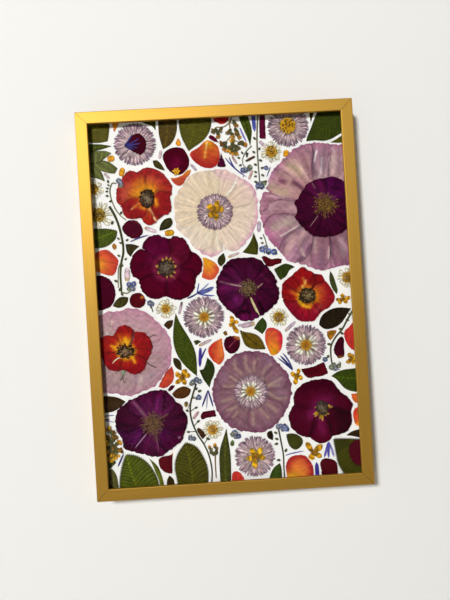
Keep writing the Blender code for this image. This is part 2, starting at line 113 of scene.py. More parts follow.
def add_node(tree, kind, settings=None, **inputs):
    """A node with its settings and its inputs."""
    node = tree.nodes.new(kind)
    for name, value in (settings or {}).items():
        setattr(node, name, value)
    set_inputs(tree, node, **inputs)
    return node


def new_material(name, **inputs):
    """A material, its node tree, and its Principled shader with these inputs."""
    material = bpy.data.materials.new(name)
    material.use_nodes = True
    tree = material.node_tree
    shader = tree.nodes["Principled BSDF"]
    set_inputs(tree, shader, **inputs)
    return material, tree, shader


def set_stops(ramp, stops):
    """Gives a Color Ramp node these (position, hex colour) stops."""
    elements = ramp.color_ramp.elements
    while len(elements) > 1:
        elements.remove(elements[0])
    elements[0].position, elements[0].color = stops[0][0], linear(stops[0][1])
    for position, code in stops[1:]:
        elements.new(position).color = linear(code)


# ---------------------------------------------------------------- the frame


def gold_rail(name, along):
    """Aluminium extrusion, brushed along its length, bright-dipped and dyed gold in the anodising bath.

    The eye gets a satin, warm yellow metal with hair-fine lines that run along the rail.
    """
    line_wide, line_long = 0.15, 60  # mm of a brush line
    material, tree, shader = new_material(name, Metallic=1.0, Roughness=0.57, Anisotropic=0.35)
    place = add_node(tree, "ShaderNodeTexCoord")
    stretch = [per_metre(line_wide)] * 3
    stretch[along] = per_metre(line_long)
    mapped = add_node(tree, "ShaderNodeMapping", Vector=(place, "Object"), Scale=stretch)
    lines = add_node(tree, "ShaderNodeTexNoise", Vector=(mapped, "Vector"), Scale=1.0, Detail=3.0)
    dye = add_node(tree, "ShaderNodeValToRGB", Fac=(lines, "Fac"))
    set_stops(dye, [(0.3, "B9913B"), (0.7, "C9A14B")])
    rough = add_node(tree, "ShaderNodeMapRange", Value=(lines, "Fac"), To_Min=0.53, To_Max=0.61)
    bump = add_node(tree, "ShaderNodeBump", Height=(lines, "Fac"), Strength=0.25, Distance=0.02 * MM)
    set_inputs(tree, shader, Base_Color=(dye, "Color"), Roughness=(rough, "Result"), Normal=(bump, "Normal"))
    return material


def picture_glass():
    """Float glass, 1.8 mm, coated against reflections, so that each face returns only a quarter of a percent.

    Lamps shine straight through it, both directly and by way of the card.
    """
    clear = linear("FEFFFE")
    material, tree, shader = new_material(
        "coated_float_glass", Roughness=0.0, IOR=1.1, Transmission_Weight=1.0, Base_Color=clear
    )
    lamps = add_node(tree, "ShaderNodeLightPath")
    through = add_node(tree, "ShaderNodeBsdfTransparent", Color=clear)
    pane = (shader, "BSDF")
    for ray in ("Is Shadow Ray", "Is Diffuse Ray"):
        either = add_node(tree, "ShaderNodeMixShader", _0=(lamps, ray), _1=pane, _2=(through, "BSDF"))
        pane = (either, "Shader")
    set_inputs(tree, tree.nodes["Material Output"], Surface=pane)
    return material


def white_card():
    """Bright white cotton mount card: dull, with a fine tooth that just breaks up the light."""
    material, tree, shader = new_material("white_mount_card", Roughness=0.9)
    place = add_node(tree, "ShaderNodeTexCoord")
    tooth = add_node(tree, "ShaderNodeTexNoise", Vector=(place, "Object"), Scale=per_metre(0.8), Detail=4.0)
    cloud = add_node(tree, "ShaderNodeTexNoise", Vector=(place, "Object"), Scale=per_metre(30), Detail=2.0)
    shade = add_node(tree, "ShaderNodeValToRGB", Fac=(cloud, "Fac"))
    set_stops(shade, [(0.35, "F7F6F5"), (0.65, "FCFBFB")])
    bump = add_node(tree, "ShaderNodeBump", Height=(tooth, "Fac"), Strength=0.3, Distance=0.05 * MM)
    set_inputs(tree, shader, Base_Color=(shade, "Color"), Normal=(bump, "Normal"))
    return material


def fibreboard():
    """Hardboard: pressed brown wood fibre, smooth side out, with short fibres and darker specks."""
    material, tree, shader = new_material("brown_hardboard", Roughness=0.75)
    place = add_node(tree, "ShaderNodeTexCoord")
    fibre = add_node(
        tree, "ShaderNodeTexNoise", Vector=(place, "Object"), Scale=per_metre(3), Detail=8.0, Roughness=0.75
    )
    colour = add_node(tree, "ShaderNodeValToRGB", Fac=(fibre, "Fac"))
    set_stops(colour, [(0.25, "4A3020"), (0.5, "7A5638"), (0.75, "94704C")])
    bump = add_node(tree, "ShaderNodeBump", Height=(fibre, "Fac"), Strength=0.4, Distance=0.15 * MM)
    set_inputs(tree, shader, Base_Color=(colour, "Color"), Normal=(bump, "Normal"))
    return material


def plated_steel(name, dark, light, roughness):
    """Mild steel, stamped and zinc plated or blued: a grey metal with cloudy patches of a few millimetres."""
    material, tree, shader = new_material(name, Metallic=1.0, Roughness=roughness)
    place = add_node(tree, "ShaderNodeTexCoord")
    cloud = add_node(tree, "ShaderNodeTexNoise", Vector=(place, "Object"), Scale=per_metre(4), Detail=5.0)
    colour = add_node(tree, "ShaderNodeValToRGB", Fac=(cloud, "Fac"))
    set_stops(colour, [(0.3, dark), (0.7, light)])
    low, high = roughness - 0.08, roughness + 0.08
    rough = add_node(tree, "ShaderNodeMapRange", Value=(cloud, "Fac"), To_Min=low, To_Max=high)
    set_inputs(tree, shader, Base_Color=(colour, "Color"), Roughness=(rough, "Result"))
    return material


def dress_frame():
    """Gives the frame's solids their finish, by how their names start."""
    finishes = (
        (("rail_left", "rail_right"), gold_rail("gold_anodised_upright", 2)),
        (("rail_top", "rail_bottom"), gold_rail("gold_anodised_level", 0)),
        (("glass",), picture_glass()),
        (("mount_card",), white_card()),
        (("backing_board",), fibreboard()),
        (("corner_plate", "screw", "hanger"), plated_steel("zinc_plated_steel", "9A9B98", "B9BBB8", 0.42)),
        (("spring_clip",), plated_steel("blued_spring_steel", "5A5D63", "777B82", 0.36)),
    )
    for starts, material in finishes:
        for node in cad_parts:
            if node.startswith(starts):
                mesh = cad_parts[node].data
                mesh.materials.clear()
                mesh.materials.append(material)


# ---------------------------------------------------------------- drawing on the card
# A point is (x, z) in mm from the middle of the frame, x to the right and z up. A lift is mm above the card.

PITCH = 0.75  # mm between the points of a pressed sheet
KEEP_X, KEEP_Z = 104.0, 147.5  # half width and half height of what the card holds
SHEET_THICK = 0.12  # mm
LAYER_1, LAYER_2 = 0.28, 0.95  # lift of what lies on the card, and of what lies on that
LOWEST = 0.16  # lift below which no fold goes
# The glass is 2 mm above the card. A lift above the first of these only creeps up to the second.
PRESS_FROM, PRESS_TO = 1.2, 1.9
SHADE_WIDE = 0.8  # mm of shade that a petal's edge throws on the one below
SMOOTH_ANGLE = math.radians(50)
FULL_TURN = 2 * math.pi
GOLDEN_TURN = math.radians(137.5)  # from one seed to the next in a seed head
TINY = 1e-9  # added to a length that may be 0 before it divides


def heading(turn):
    """The step of length 1 in the direction of an angle in radians."""
    return np.array([math.cos(turn), math.sin(turn)])


def turned(place, turn):
    """A place, or rows of places, turned about the origin."""
    x, z = place.T
    return np.stack([x * math.cos(turn) - z * math.sin(turn), x * math.sin(turn) + z * math.cos(turn)], -1)


def random_for(name):
    """The same random numbers for the same piece, whatever is made before it."""
    return np.random.default_rng(sum(ord(letter) * (i + 1) for i, letter in enumerate(name)))


def curve_through(points, closed=False, step=PITCH):
    """Points about a step apart on a smooth curve through the given ones; a hard turn stays a corner."""
    p = np.array(points, float)
    ahead = np.roll(p, -1, 0) - p
    behind = p - np.roll(p, 1, 0)
    if not closed:
        ahead[-1], behind[0] = behind[-1], ahead[0]
    ahead_long = np.linalg.norm(ahead, axis=1, keepdims=True) + TINY
    ahead_way = ahead / ahead_long
    behind_way = behind / (np.linalg.norm(behind, axis=1, keepdims=True) + TINY)
    # Fully smooth up to a turn of about 50 degrees, then harder, and a sharp corner from 90.
    soft = np.clip(1.6 * (ahead_way * behind_way).sum(1, keepdims=True), 0, 1)
    way = ahead_way + behind_way
    way *= soft / (np.linalg.norm(way, axis=1, keepdims=True) + TINY)
    curve = []
    for i in range(len(p) if closed else len(p) - 1):
        j = (i + 1) % len(p)
        long = ahead_long[i, 0]
        t = np.linspace(0, 1, max(2, round(long / step) + 1))[:-1, None]
        from_here = (2 * t**3 - 3 * t**2 + 1) * p[i] + (t**3 - 2 * t**2 + t) * long * way[i]
        curve.append(from_here + (3 * t**2 - 2 * t**3) * p[j] + (t**3 - t**2) * long * way[j])
    if not closed:
        curve.append(p[-1:])
    return np.vstack(curve)


def inside(points, outline):
    """Which points lie within a closed outline."""
    x, z = points.T
    hit = np.zeros(len(points), bool)
    for (x1, z1), (x2, z2) in zip(outline, np.roll(outline, -1, 0)):
        if z1 != z2:
            hit ^= ((z1 > z) != (z2 > z)) & (x < (x2 - x1) * (z - z1) / (z2 - z1) + x1)
    return hit


def follow(points, line, closed=False):
    """For each point: mm along the line, and signed mm from it."""
    line = np.asarray(line, float)
    if len(line) == 1:
        return np.zeros(len(points)), np.linalg.norm(points - line[0], axis=1)
    starts = line if closed else line[:-1]
    ends = np.roll(line, -1, 0) if closed else line[1:]
    best = np.full(len(points), 1e9)
    along, side = np.zeros(len(points)), np.ones(len(points))
    passed = 0.0
    for start, end in zip(starts, ends):
        way = end - start
        long = math.hypot(*way) + TINY
        offset = points - start
        run = offset @ way / long
        off = (offset[:, 0] * way[1] - offset[:, 1] * way[0]) / long
        square = off**2 + (run - np.clip(run, 0, long)) ** 2
        closer = square < best
        best[closer] = square[closer]
        along[closer] = passed + np.clip(run[closer], 0, long)
        side[closer] = np.sign(off[closer])
        passed += long
    return along, side * np.sqrt(best)


def gap(points, line, closed=False):
    """For each point: mm to the line."""
    return np.abs(follow(points, line, closed)[1])


def waves(across, pitch, rng, count=4):
    """A wavering value between about -1 and 1, with this pitch."""
    total = 0
    for _ in range(count):
        total = total + np.sin(across * FULL_TURN / (pitch * rng.uniform(0.6, 1.7)) + rng.uniform(0, 6.3))
    return total * 1.4 / count


def crumple(points, size, rng, count=6):
    """Sharp little creases in all directions, size mm apart: about -1 in a crease and 1 between them."""
    total = 0
    for _ in range(count):
        way = heading(rng.uniform(0, math.pi))
        run, across = points @ way, points @ way[::-1]
        bend = rng.uniform(0.5, 1.2) * np.sin(across * 2 / size + rng.uniform(0, 6.3))
        total = total + np.abs(np.sin(run * math.pi / (size * rng.uniform(0.8, 1.9)) + bend))
    return (total / count - 0.64) * 5


def fill(outline, rng, pitch=PITCH):
    """Points and triangles that fill an outline, unevenly as a grown thing."""
    row_gap, jitter, clear = 0.87, 0.15, 0.55  # as shares of the pitch
    low, high = outline.min(0), outline.max(0)
    x, z = np.meshgrid(np.arange(low[0], high[0], pitch), np.arange(low[1], high[1], pitch * row_gap))
    x[1::2] += pitch / 2
    spots = np.stack([x.ravel(), z.ravel()], 1)
    spots += rng.uniform(-jitter, jitter, spots.shape) * pitch
    spots = spots[inside(spots, outline)]
    spots = spots[gap(spots, outline, True) > clear * pitch]
    corners = [Vector(p) for p in np.vstack([outline, spots])]
    made = delaunay_2d_cdt(corners, [], [list(range(len(outline)))], 1, 1e-5)
    points = np.array([tuple(p) for p in made[0]])
    faces = np.array(made[2])
    a, b, c = points[faces[:, 0]], points[faces[:, 1]], points[faces[:, 2]]
    turn = (b - a)[:, 0] * (c - a)[:, 1] - (b - a)[:, 1] * (c - a)[:, 0]
    faces[turn < 0] = faces[turn < 0][:, ::-1]
    return points, faces[np.abs(turn) > 1e-6].tolist()


def ramp(share, stops):
    """Colours at these shares of the way along (place, hex colour) stops."""
    places = [place for place, _ in stops]
    colours = np.array([rgb(code) for _, code in stops])
    return np.stack([np.interp(share, places, colours[:, i]) for i in range(3)], 1)


def mix(tint, colour, share):
    """Tints with a share of a colour in them."""
    return tint + (rgb(colour) - tint) * np.clip(share, 0, 1)[:, None]


def brush(tint, points, strokes):
    """Paints strokes (colour, half width in mm, strength, points) that fade out sideways."""
    for colour, wide, strength, line in strokes:
        line = curve_through(line, step=1.5) if len(line) > 1 else np.array(line, float)
        tint = mix(tint, colour, strength * np.exp(-((gap(points, line) / wide) ** 2)))
    return tint


class Heap:
    """Parts of one specimen that share a material: points (x, z, lift), faces, colours and grain.

    Grain is (mm along, mm across, mm from the rim), which the materials draw their veins by.
    Open sheets get a thickness when the piece is made; closed ones stay as they are.
    """

    def __init__(self, material, closed=False):
        self.material, self.closed = material, closed
        self.points, self.faces, self.tint, self.grain = [], [], [], []
        self.count = 0

    def add(self, points, faces, tint, grain=None):
        points = np.asarray(points, float)
        self.points.append(points)
        self.faces += [[i + self.count for i in face] for face in faces]
        self.tint.append(np.broadcast_to(tint, points.shape))
        self.grain.append(np.zeros_like(points) if grain is None else grain)
        self.count += len(points)


def heap_object(name, heap):
    """A heap as a mesh object on the card, with its colours and grain as attributes."""
    points = np.vstack(heap.points)
    lift = points[:, 2]
    room = PRESS_TO - PRESS_FROM
    lift = np.where(lift < PRESS_FROM, lift, PRESS_TO - room * np.exp((PRESS_FROM - lift) / room))
    places = np.stack([points[:, 0] * MM, CARD_Y - lift * MM, MIDDLE_Z + points[:, 1] * MM], 1)
    mesh = bpy.data.meshes.new(name)
    mesh.from_pydata(places.tolist(), [], heap.faces)
    tint = to_linear(np.clip(np.vstack(heap.tint), 0, 1))
    paint = mesh.attributes.new("tint", "FLOAT_COLOR", "POINT")
    paint.data.foreach_set("color", np.hstack([tint, np.ones((len(tint), 1))]).ravel())
    grain = mesh.attributes.new("grain", "FLOAT_VECTOR", "POINT")
    grain.data.foreach_set("vector", np.vstack(heap.grain).ravel())
    mesh.materials.append(heap.material)
    return add_object(name, mesh)


def trim_to_card(heap):
    """Cuts off what would reach past the card, under the rails."""
    points = np.vstack(heap.points)
    sides = [(0, 1, KEEP_X), (0, -1, KEEP_X), (1, 1, KEEP_Z), (1, -1, KEEP_Z)]
    over = [side for side in sides if (points[:, side[0]] * side[1]).max() > side[2]]
    if not over:
        return
    bpy.ops.object.mode_set(mode="EDIT")
    for axis, sign, keep in over:
        bpy.ops.mesh.select_all(action="SELECT")
        place = (sign * keep * MM, 0, 0) if axis == 0 else (0, 0, MIDDLE_Z + sign * keep * MM)
        way = (sign, 0, 0) if axis == 0 else (0, 0, sign)
        bpy.ops.mesh.bisect(plane_co=place, plane_no=way, clear_outer=True, use_fill=heap.closed)
    bpy.ops.object.mode_set(mode="OBJECT")


def make_piece(name, heaps, replaces=()):
    """One finished specimen from its heaps: trimmed, thickened, smoothed and joined."""
    parts = []
    for heap in heaps:
        if not heap.count:
            continue
        obj = heap_object(name, heap)
        select_only(obj)
        trim_to_card(heap)
        if not heap.closed:
            bpy.ops.object.modifier_add(type="SOLIDIFY")
            obj.modifiers[-1].thickness = SHEET_THICK * MM
            obj.modifiers[-1].offset = -1.0
            bpy.ops.object.modifier_apply(modifier=obj.modifiers[-1].name)
        bpy.ops.object.shade_smooth_by_angle(angle=SMOOTH_ANGLE)
        parts.append(obj)
    for obj in parts:
        obj.select_set(True)
    bpy.context.view_layer.objects.active = parts[0]
    if len(parts) > 1:
        bpy.ops.object.join()
    piece = bpy.context.view_layer.objects.active
    piece.name = name
    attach(piece, "root")
    if replaces:
        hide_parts(*replaces)


# ---------------------------------------------------------------- finishes of the specimens


def pressed_skin(name, vein_gap, veins, cells, cloud, roughness, gloss=0.2, cell_size=0.9):
    """Dried plant skin over the attribute tint: veins along the attribute grain, cells and cloudy patches.

    veins, cells and cloud say how much each changes the brightness and the relief.
    """
    material, tree, shader = new_material(name, Roughness=roughness, Specular_IOR_Level=gloss)
    tint = add_node(tree, "ShaderNodeAttribute", {"attribute_name": "tint"})
    grain = add_node(tree, "ShaderNodeAttribute", {"attribute_name": "grain"})
    place = add_node(tree, "ShaderNodeTexCoord")
    vein_long = 14  # mm
    scale = (1 / vein_long, 1 / vein_gap, 0)
    stretch = add_node(tree, "ShaderNodeMapping", Vector=(grain, "Vector"), Scale=scale)
    lines = add_node(
        tree, "ShaderNodeTexNoise", Vector=(stretch, "Vector"), Scale=1.0, Detail=3.0, Roughness=0.6
    )
    skin = add_node(tree, "ShaderNodeTexVoronoi", Vector=(place, "Object"), Scale=per_metre(cell_size))
    patches = add_node(tree, "ShaderNodeTexNoise", Vector=(place, "Object"), Scale=per_metre(7), Detail=5.0)
    level = 1 - veins / 2 - cells / 3 - cloud / 2
    for source, output, amount in ((lines, "Fac", veins), (skin, "Distance", cells), (patches, "Fac", cloud)):
        multiply = {"operation": "MULTIPLY_ADD"}
        step = add_node(tree, "ShaderNodeMath", multiply, _0=(source, output), _1=amount, _2=level)
        level = (step, "Value")
    shade = add_node(tree, "ShaderNodeHueSaturation", Color=(tint, "Color"), Value=level)
    bump = add_node(tree, "ShaderNodeBump", Height=level, Strength=0.8, Distance=0.5 * MM)
    set_inputs(tree, shader, Base_Color=(shade, "Color"), Normal=(bump, "Normal"))
    return material


def make_skins():
    """One finish for each kind of pressed specimen."""
    # Rose and other velvety petals: tiny cone-shaped cells drink the light, so they stay deep and dull.
    velvet = {"vein_gap": 1.5, "veins": 0.3, "cells": 0.2, "cloud": 0.6, "roughness": 0.8, "gloss": 0.04}
    # Thin petals that went papery: their fan of fine veins shows, and faint crinkles catch the light.
    papery = {"vein_gap": 0.9, "veins": 0.26, "cells": 0.1, "cloud": 0.2, "roughness": 0.75, "gloss": 0.1}
    # Smooth petals with a waxy skin, a little glossier.
    waxy = {"vein_gap": 1.3, "veins": 0.2, "cells": 0.14, "cloud": 0.4, "roughness": 0.6, "gloss": 0.08}
    # Ray florets: a few straight nerves along each strap.
    strap = {"vein_gap": 0.45, "veins": 0.45, "cells": 0.15, "cloud": 0.25, "roughness": 0.75}
    # Leaves: a dull waxy skin over a net of veins, darker and lighter in patches.
    leafy = {"vein_gap": 2.4, "veins": 0.2, "cells": 0.35, "cloud": 0.6, "roughness": 0.65, "gloss": 0.08}
    leafy["cell_size"] = 1.1
    # Stems and buds: stringy, with fine ribs along them.
    woody = {"vein_gap": 0.4, "veins": 0.5, "cells": 0.2, "cloud": 0.5, "roughness": 0.75, "cell_size": 0.6}
    # Pollen and stamens: crumbly, quite dull.
    crumbly = {"vein_gap": 0.5, "veins": 0.3, "cells": 0.5, "cloud": 0.45, "roughness": 0.9, "cell_size": 0.5}
    looks = {
        "lilac_petal": ("dried_aster_strap", strap),
        "white_petal": ("dried_daisy_strap", strap),
        "blue_petal": ("dried_larkspur_petal", strap),
        "maroon_petal": ("velvet_maroon_petal", velvet),
        "purple_petal": ("velvet_rose_petal", velvet),
        "red_petal": ("satin_red_petal", waxy),
        "orange_petal": ("waxy_orange_petal", waxy),
        "yellow_petal": ("waxy_yellow_floret", waxy),
        "cream_petal": ("papery_cream_petal", papery),
        "pink_petal": ("papery_pink_petal", papery),
        "mauve_petal": ("papery_mauve_petal", papery),
        "green_leaf": ("dried_green_leaf", leafy),
        "olive_leaf": ("dried_olive_leaf", leafy),
        "brown_leaf": ("dried_brown_leaf", leafy),
        "stem": ("dried_stem_and_bud", woody),
        "heart": ("dry_pollen_heart", crumbly),
    }
    return {slot: pressed_skin(name, **look) for slot, (name, look) in looks.items()}


# ---------------------------------------------------------------- small forms, modelled once and copied


def take_form(obj):
    """Points and faces of a modelled form, as (across, along, up)."""
    mesh = obj.data
    points = np.array([tuple(v.co) for v in mesh.vertices])
    faces = [tuple(face.vertices) for face in mesh.polygons]
    bpy.data.objects.remove(obj)
    return points, faces


def select_points(obj, test):
    """In edit mode: selects only the points that pass a test on their place."""
    bpy.ops.mesh.select_all(action="DESELECT")
    bm = bmesh.from_edit_mesh(obj.data)
    for vert in bm.verts:
        vert.select_set(test(vert.co))
    bm.select_flush(True)
    bmesh.update_edit_mesh(obj.data)


def strap_form():
    """A ray floret's strap, 1 wide and 1 long from its foot at (0, 0): grooved along, blunt at the tip."""
    bpy.ops.mesh.primitive_grid_add(x_subdivisions=4, y_subdivisions=6, size=1, location=(0, 0.5, 0))
    obj = bpy.context.active_object
    bpy.ops.object.transform_apply(location=True)
    bpy.ops.object.mode_set(mode="EDIT")
    select_points(obj, lambda co: abs(abs(co.x) - 0.25) < 0.01)
    bpy.ops.transform.translate(value=(0, 0, 0.14))
    select_points(obj, lambda co: abs(co.x) < 0.01)
    bpy.ops.transform.translate(value=(0, 0, 0.04))
    select_points(obj, lambda co: co.y > 0.99)
    bpy.ops.transform.resize(value=(0.45, 1, 0.5))
    select_points(obj, lambda co: co.y > 0.99 and abs(co.x) > 0.1)
    bpy.ops.transform.translate(value=(0, -0.02, 0))
    bpy.ops.object.mode_set(mode="OBJECT")
    return take_form(obj)


def grain_form():
    """A disc floret or anther: a small squashed ball with a dimple on top."""
    bpy.ops.mesh.primitive_uv_sphere_add(segments=7, ring_count=5, radius=1)
    obj = bpy.context.active_object
    bpy.ops.object.mode_set(mode="EDIT")
    select_points(obj, lambda co: co.z > 0.95)
    bpy.ops.transform.translate(value=(0, 0, -0.35))
    select_points(obj, lambda co: co.z < -0.3)
    bpy.ops.transform.resize(value=(1, 1, 0.4))
    bpy.ops.object.mode_set(mode="OBJECT")
    return take_form(obj)


def bud_form():
    """A flattened bud from its foot at (0, 0) to its tip at (0, 1): round below, drawn out to a point."""
    bpy.ops.mesh.primitive_uv_sphere_add(segments=8, ring_count=7, radius=0.5, rotation=(-math.pi / 2, 0, 0))
    obj = bpy.context.active_object
    obj.location = (0, 0.5, 0)
    bpy.ops.object.transform_apply(location=True, rotation=True)
    bpy.ops.object.mode_set(mode="EDIT")
    select_points(obj, lambda co: co.y > 0.6)
    bpy.ops.transform.resize(value=(0.7, 1.15, 0.8))
    select_points(obj, lambda co: co.y < 0.15)
    bpy.ops.transform.resize(value=(1.25, 1, 1))
    bpy.ops.object.mode_set(mode="OBJECT")
    return take_form(obj)


def lay(heap, form, foot, tip, wide, lift, high, tint, bend=0.0, shape=None, ripple=0.0):
    """Lays a copy of a form from foot to tip: wide and high in mm, its middle bent sideways by bend mm.

    tint is one colour, or one for each point. shape = (places, widths) narrows or widens it along its length.
    """
    points, faces = form
    foot, tip = np.array(foot, float), np.array(tip, float)
    long = math.hypot(*(tip - foot)) + TINY
    way = (tip - foot) / long
    side = np.array([way[1], -way[0]])
    across, along, up = points.T
    width = wide * (np.interp(along, *shape) if shape else 1)
    off = across * width + bend * 4 * along * (1 - along)
    place = foot + np.outer(along * long, way) + np.outer(off, side)
    height = (np.interp(along, (0, 1), lift) if isinstance(lift, tuple) else lift) + up * high
    # Each copy waves in its own way, by where it lies, and is painted lighter where its waves rise and darker
    # where they sink: painted light and shade of the ripple.
    wave = np.sin(along * 11 + across * 2.5 + foot[0] * 9 + tip[1] * 5)
    height = height + ripple * wave
    tint = np.broadcast_to(tint, points.shape) * (1 + 1.2 * ripple * wave)[:, None]
    grain = np.stack([along * long, across * width, np.minimum(along, 1 - along) * long], 1)
    grain[:, 1] += foot[0] * 7 + foot[1] * 3
    heap.add(np.column_stack([place, height]), faces, tint, grain)


def shades(form, stops, tone=1.0, edge=0.0):
    """A colour for each point of a form, by how far along it lies; edge darkens (or lightens) its sides."""
    points = form[0]
    tint = ramp(points[:, 1], stops) * tone
    return tint * (1 - edge * (2 * np.abs(points[:, :1])) ** 2)


# Places along a strap, and its width there as a share of its full width.
STRAP_SHAPES = {
    "aster": ((0, 0.3, 0.75, 0.92, 1), (0.45, 0.7, 1, 1.02, 0.8)),
    "daisy": ((0, 0.25, 0.7, 0.9, 1), (0.55, 0.85, 1, 0.95, 0.6)),
    "lobe": ((0, 0.2, 0.6, 0.9, 1), (0.4, 0.75, 1.1, 0.9, 0.6)),
    "sliver": ((0, 0.2, 0.6, 0.9, 1), (0.6, 0.95, 1, 0.8, 0.4)),
    "petal": ((0, 0.3, 0.7, 0.9, 1), (0.3, 0.8, 1.0, 0.7, 0.35)),
    "spike": ((0, 0.3, 0.7, 1), (1, 0.8, 0.5, 0.15)),
    "round": ((0, 0.25, 0.55, 0.85, 1), (0.35, 0.8, 1.1, 1.0, 0.6)),
}


def strap(heap, foot, tip, wide, lift, stops, kind, tone=1.0, bend=0.0, edge=0.15, high=0.3, ripple=0.05):
    """A strap floret or splinter of petal from foot to tip; lift is one value, or those of foot and tip."""
    tint = shades(STRAP, stops, tone, edge)
    lay(heap, STRAP, foot, tip, wide, lift, high * min(wide, 1.6), tint, bend, STRAP_SHAPES[kind], ripple)


def grain(heap, place, wide, lift, colour, high=0.5, turn=0.0):
    """One disc floret or anther, wide mm across."""
    points, faces = GRAIN
    up = points[:, 2]
    spread = np.array(place) + turned(points[:, :2], turn) * wide / 2
    # Painted light: lighter towards its top, darker on its lower half.
    tint = rgb(colour) * (0.8 + 0.25 * np.clip(up, 0, 1))[:, None]
    heap.add(np.column_stack([spread, lift + up * high * wide / 2]), faces, tint)


def stem(heap, points, wide, lift, colour, end_wide=None):
    """A pressed stalk along a smooth line, flatter than round, with closed ends."""
    line = curve_through(points, step=1.2)
    curve = bpy.data.curves.new("stalk", "CURVE")
    curve.dimensions = "3D"
    curve.bevel_depth = 0.5
    curve.bevel_resolution = 1
    curve.use_fill_caps = True
    spline = curve.splines.new("POLY")
    spline.points.add(len(line) - 1)
    widths = np.interp(np.arange(len(line)), (0, len(line) - 1), (wide, end_wide or wide))
    for point, (x, z), width in zip(spline.points, line, widths):
        point.co = (x, z, 0, 1)
        point.radius = width
    select_only(add_object("stalk", curve))
    bpy.ops.object.convert(target="MESH")
    points, faces = take_form(bpy.context.view_layer.objects.active)
    along, side = follow(points[:, :2], line)
    height = lift + points[:, 2] * 0.55
    # Painted shade: darker towards both sides of the stalk, as on a round thing.
    tint = np.outer(1 - 0.25 * np.abs(side) / (wide / 2), rgb(colour))
    grain_at = np.column_stack([along, side + line[0, 0], np.zeros(len(along))])
    heap.add(np.column_stack([points[:, :2], height]), faces, tint, grain_at)


# ---------------------------------------------------------------- petals and leaves

DRIED = np.array((0.91, 0.8, 0.4))  # a leaf's green turns towards olive in the press
FRONT_NORMAL = -0.9  # a face whose normal has less y than this looks at the eye
LAP_DEGREES = 14  # how far a petal runs under its neighbour
RUFFLE_WAVE = 6  # mm between the waves of a ruffled rim


def rim_of(node):
    """Outline of a specimen's CAD solid, anticlockwise as the eye sees it, in mm on the card."""
    bm = bmesh.new()
    bm.from_mesh(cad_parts[node].data)
    bmesh.ops.remove_doubles(bm, verts=bm.verts, dist=0.001 * MM)
    front = dict.fromkeys(face for face in bm.faces if face.normal.y < FRONT_NORMAL)  # keeps their order
    ahead = {}
    for face in front:
        for loop in face.loops:
            if not any(other in front for other in loop.edge.link_faces if other is not face):
                ahead[loop.vert] = loop.link_loop_next.vert
    # The leftmost point is the start, so that each run draws the same rim.
    start = here = min(ahead, key=lambda vert: (round(vert.co.x / MM, 3), vert.co.z))
    rim = []
    while not rim or here is not start:
        rim.append((here.co.x / MM, (here.co.z - MIDDLE_Z) / MM))
        here = ahead[here]
    bm.free()
    rim = np.array(rim)
    area = np.sum(rim[:, 0] * np.roll(rim[:, 1], -1) - np.roll(rim[:, 0], -1) * rim[:, 1])
    return rim if area > 0 else rim[::-1]


def even(line, step=PITCH, closed=True):
    """The same line with its points about a step apart, corners kept."""
    ends = np.roll(line, -1, 0) if closed else line[1:]
    out = []
    for a, b in zip(line, ends):
        count = max(1, round(math.hypot(*(b - a)) / step))
        out.append(a + (b - a) * np.linspace(0, 1, count, endpoint=False)[:, None])
    if not closed:
        out.append(line[-1:])
    out = np.vstack(out)
    keep = [0]
    for i in range(1, len(out)):
        if math.hypot(*(out[i] - out[keep[-1]])) > step * 0.4:
            keep.append(i)
    return out[keep]


def cut_rim(rim, start, end):
    """The part of a rim from near one point anticlockwise to near another."""
    first = int(np.argmin(np.linalg.norm(rim - start, axis=1)))
    last = int(np.argmin(np.linalg.norm(rim - end, axis=1)))
    return np.roll(rim, -first, 0)[: (last - first) % len(rim) + 1]


def lap(notch, centre, degrees):
    """Where a petal's hidden side runs under its neighbour: points from the notch in to the centre."""
    out = turned(np.array(notch, float) - centre, math.radians(degrees))
    return [tuple(centre + out * 0.8), tuple(centre + out * 0.4)]


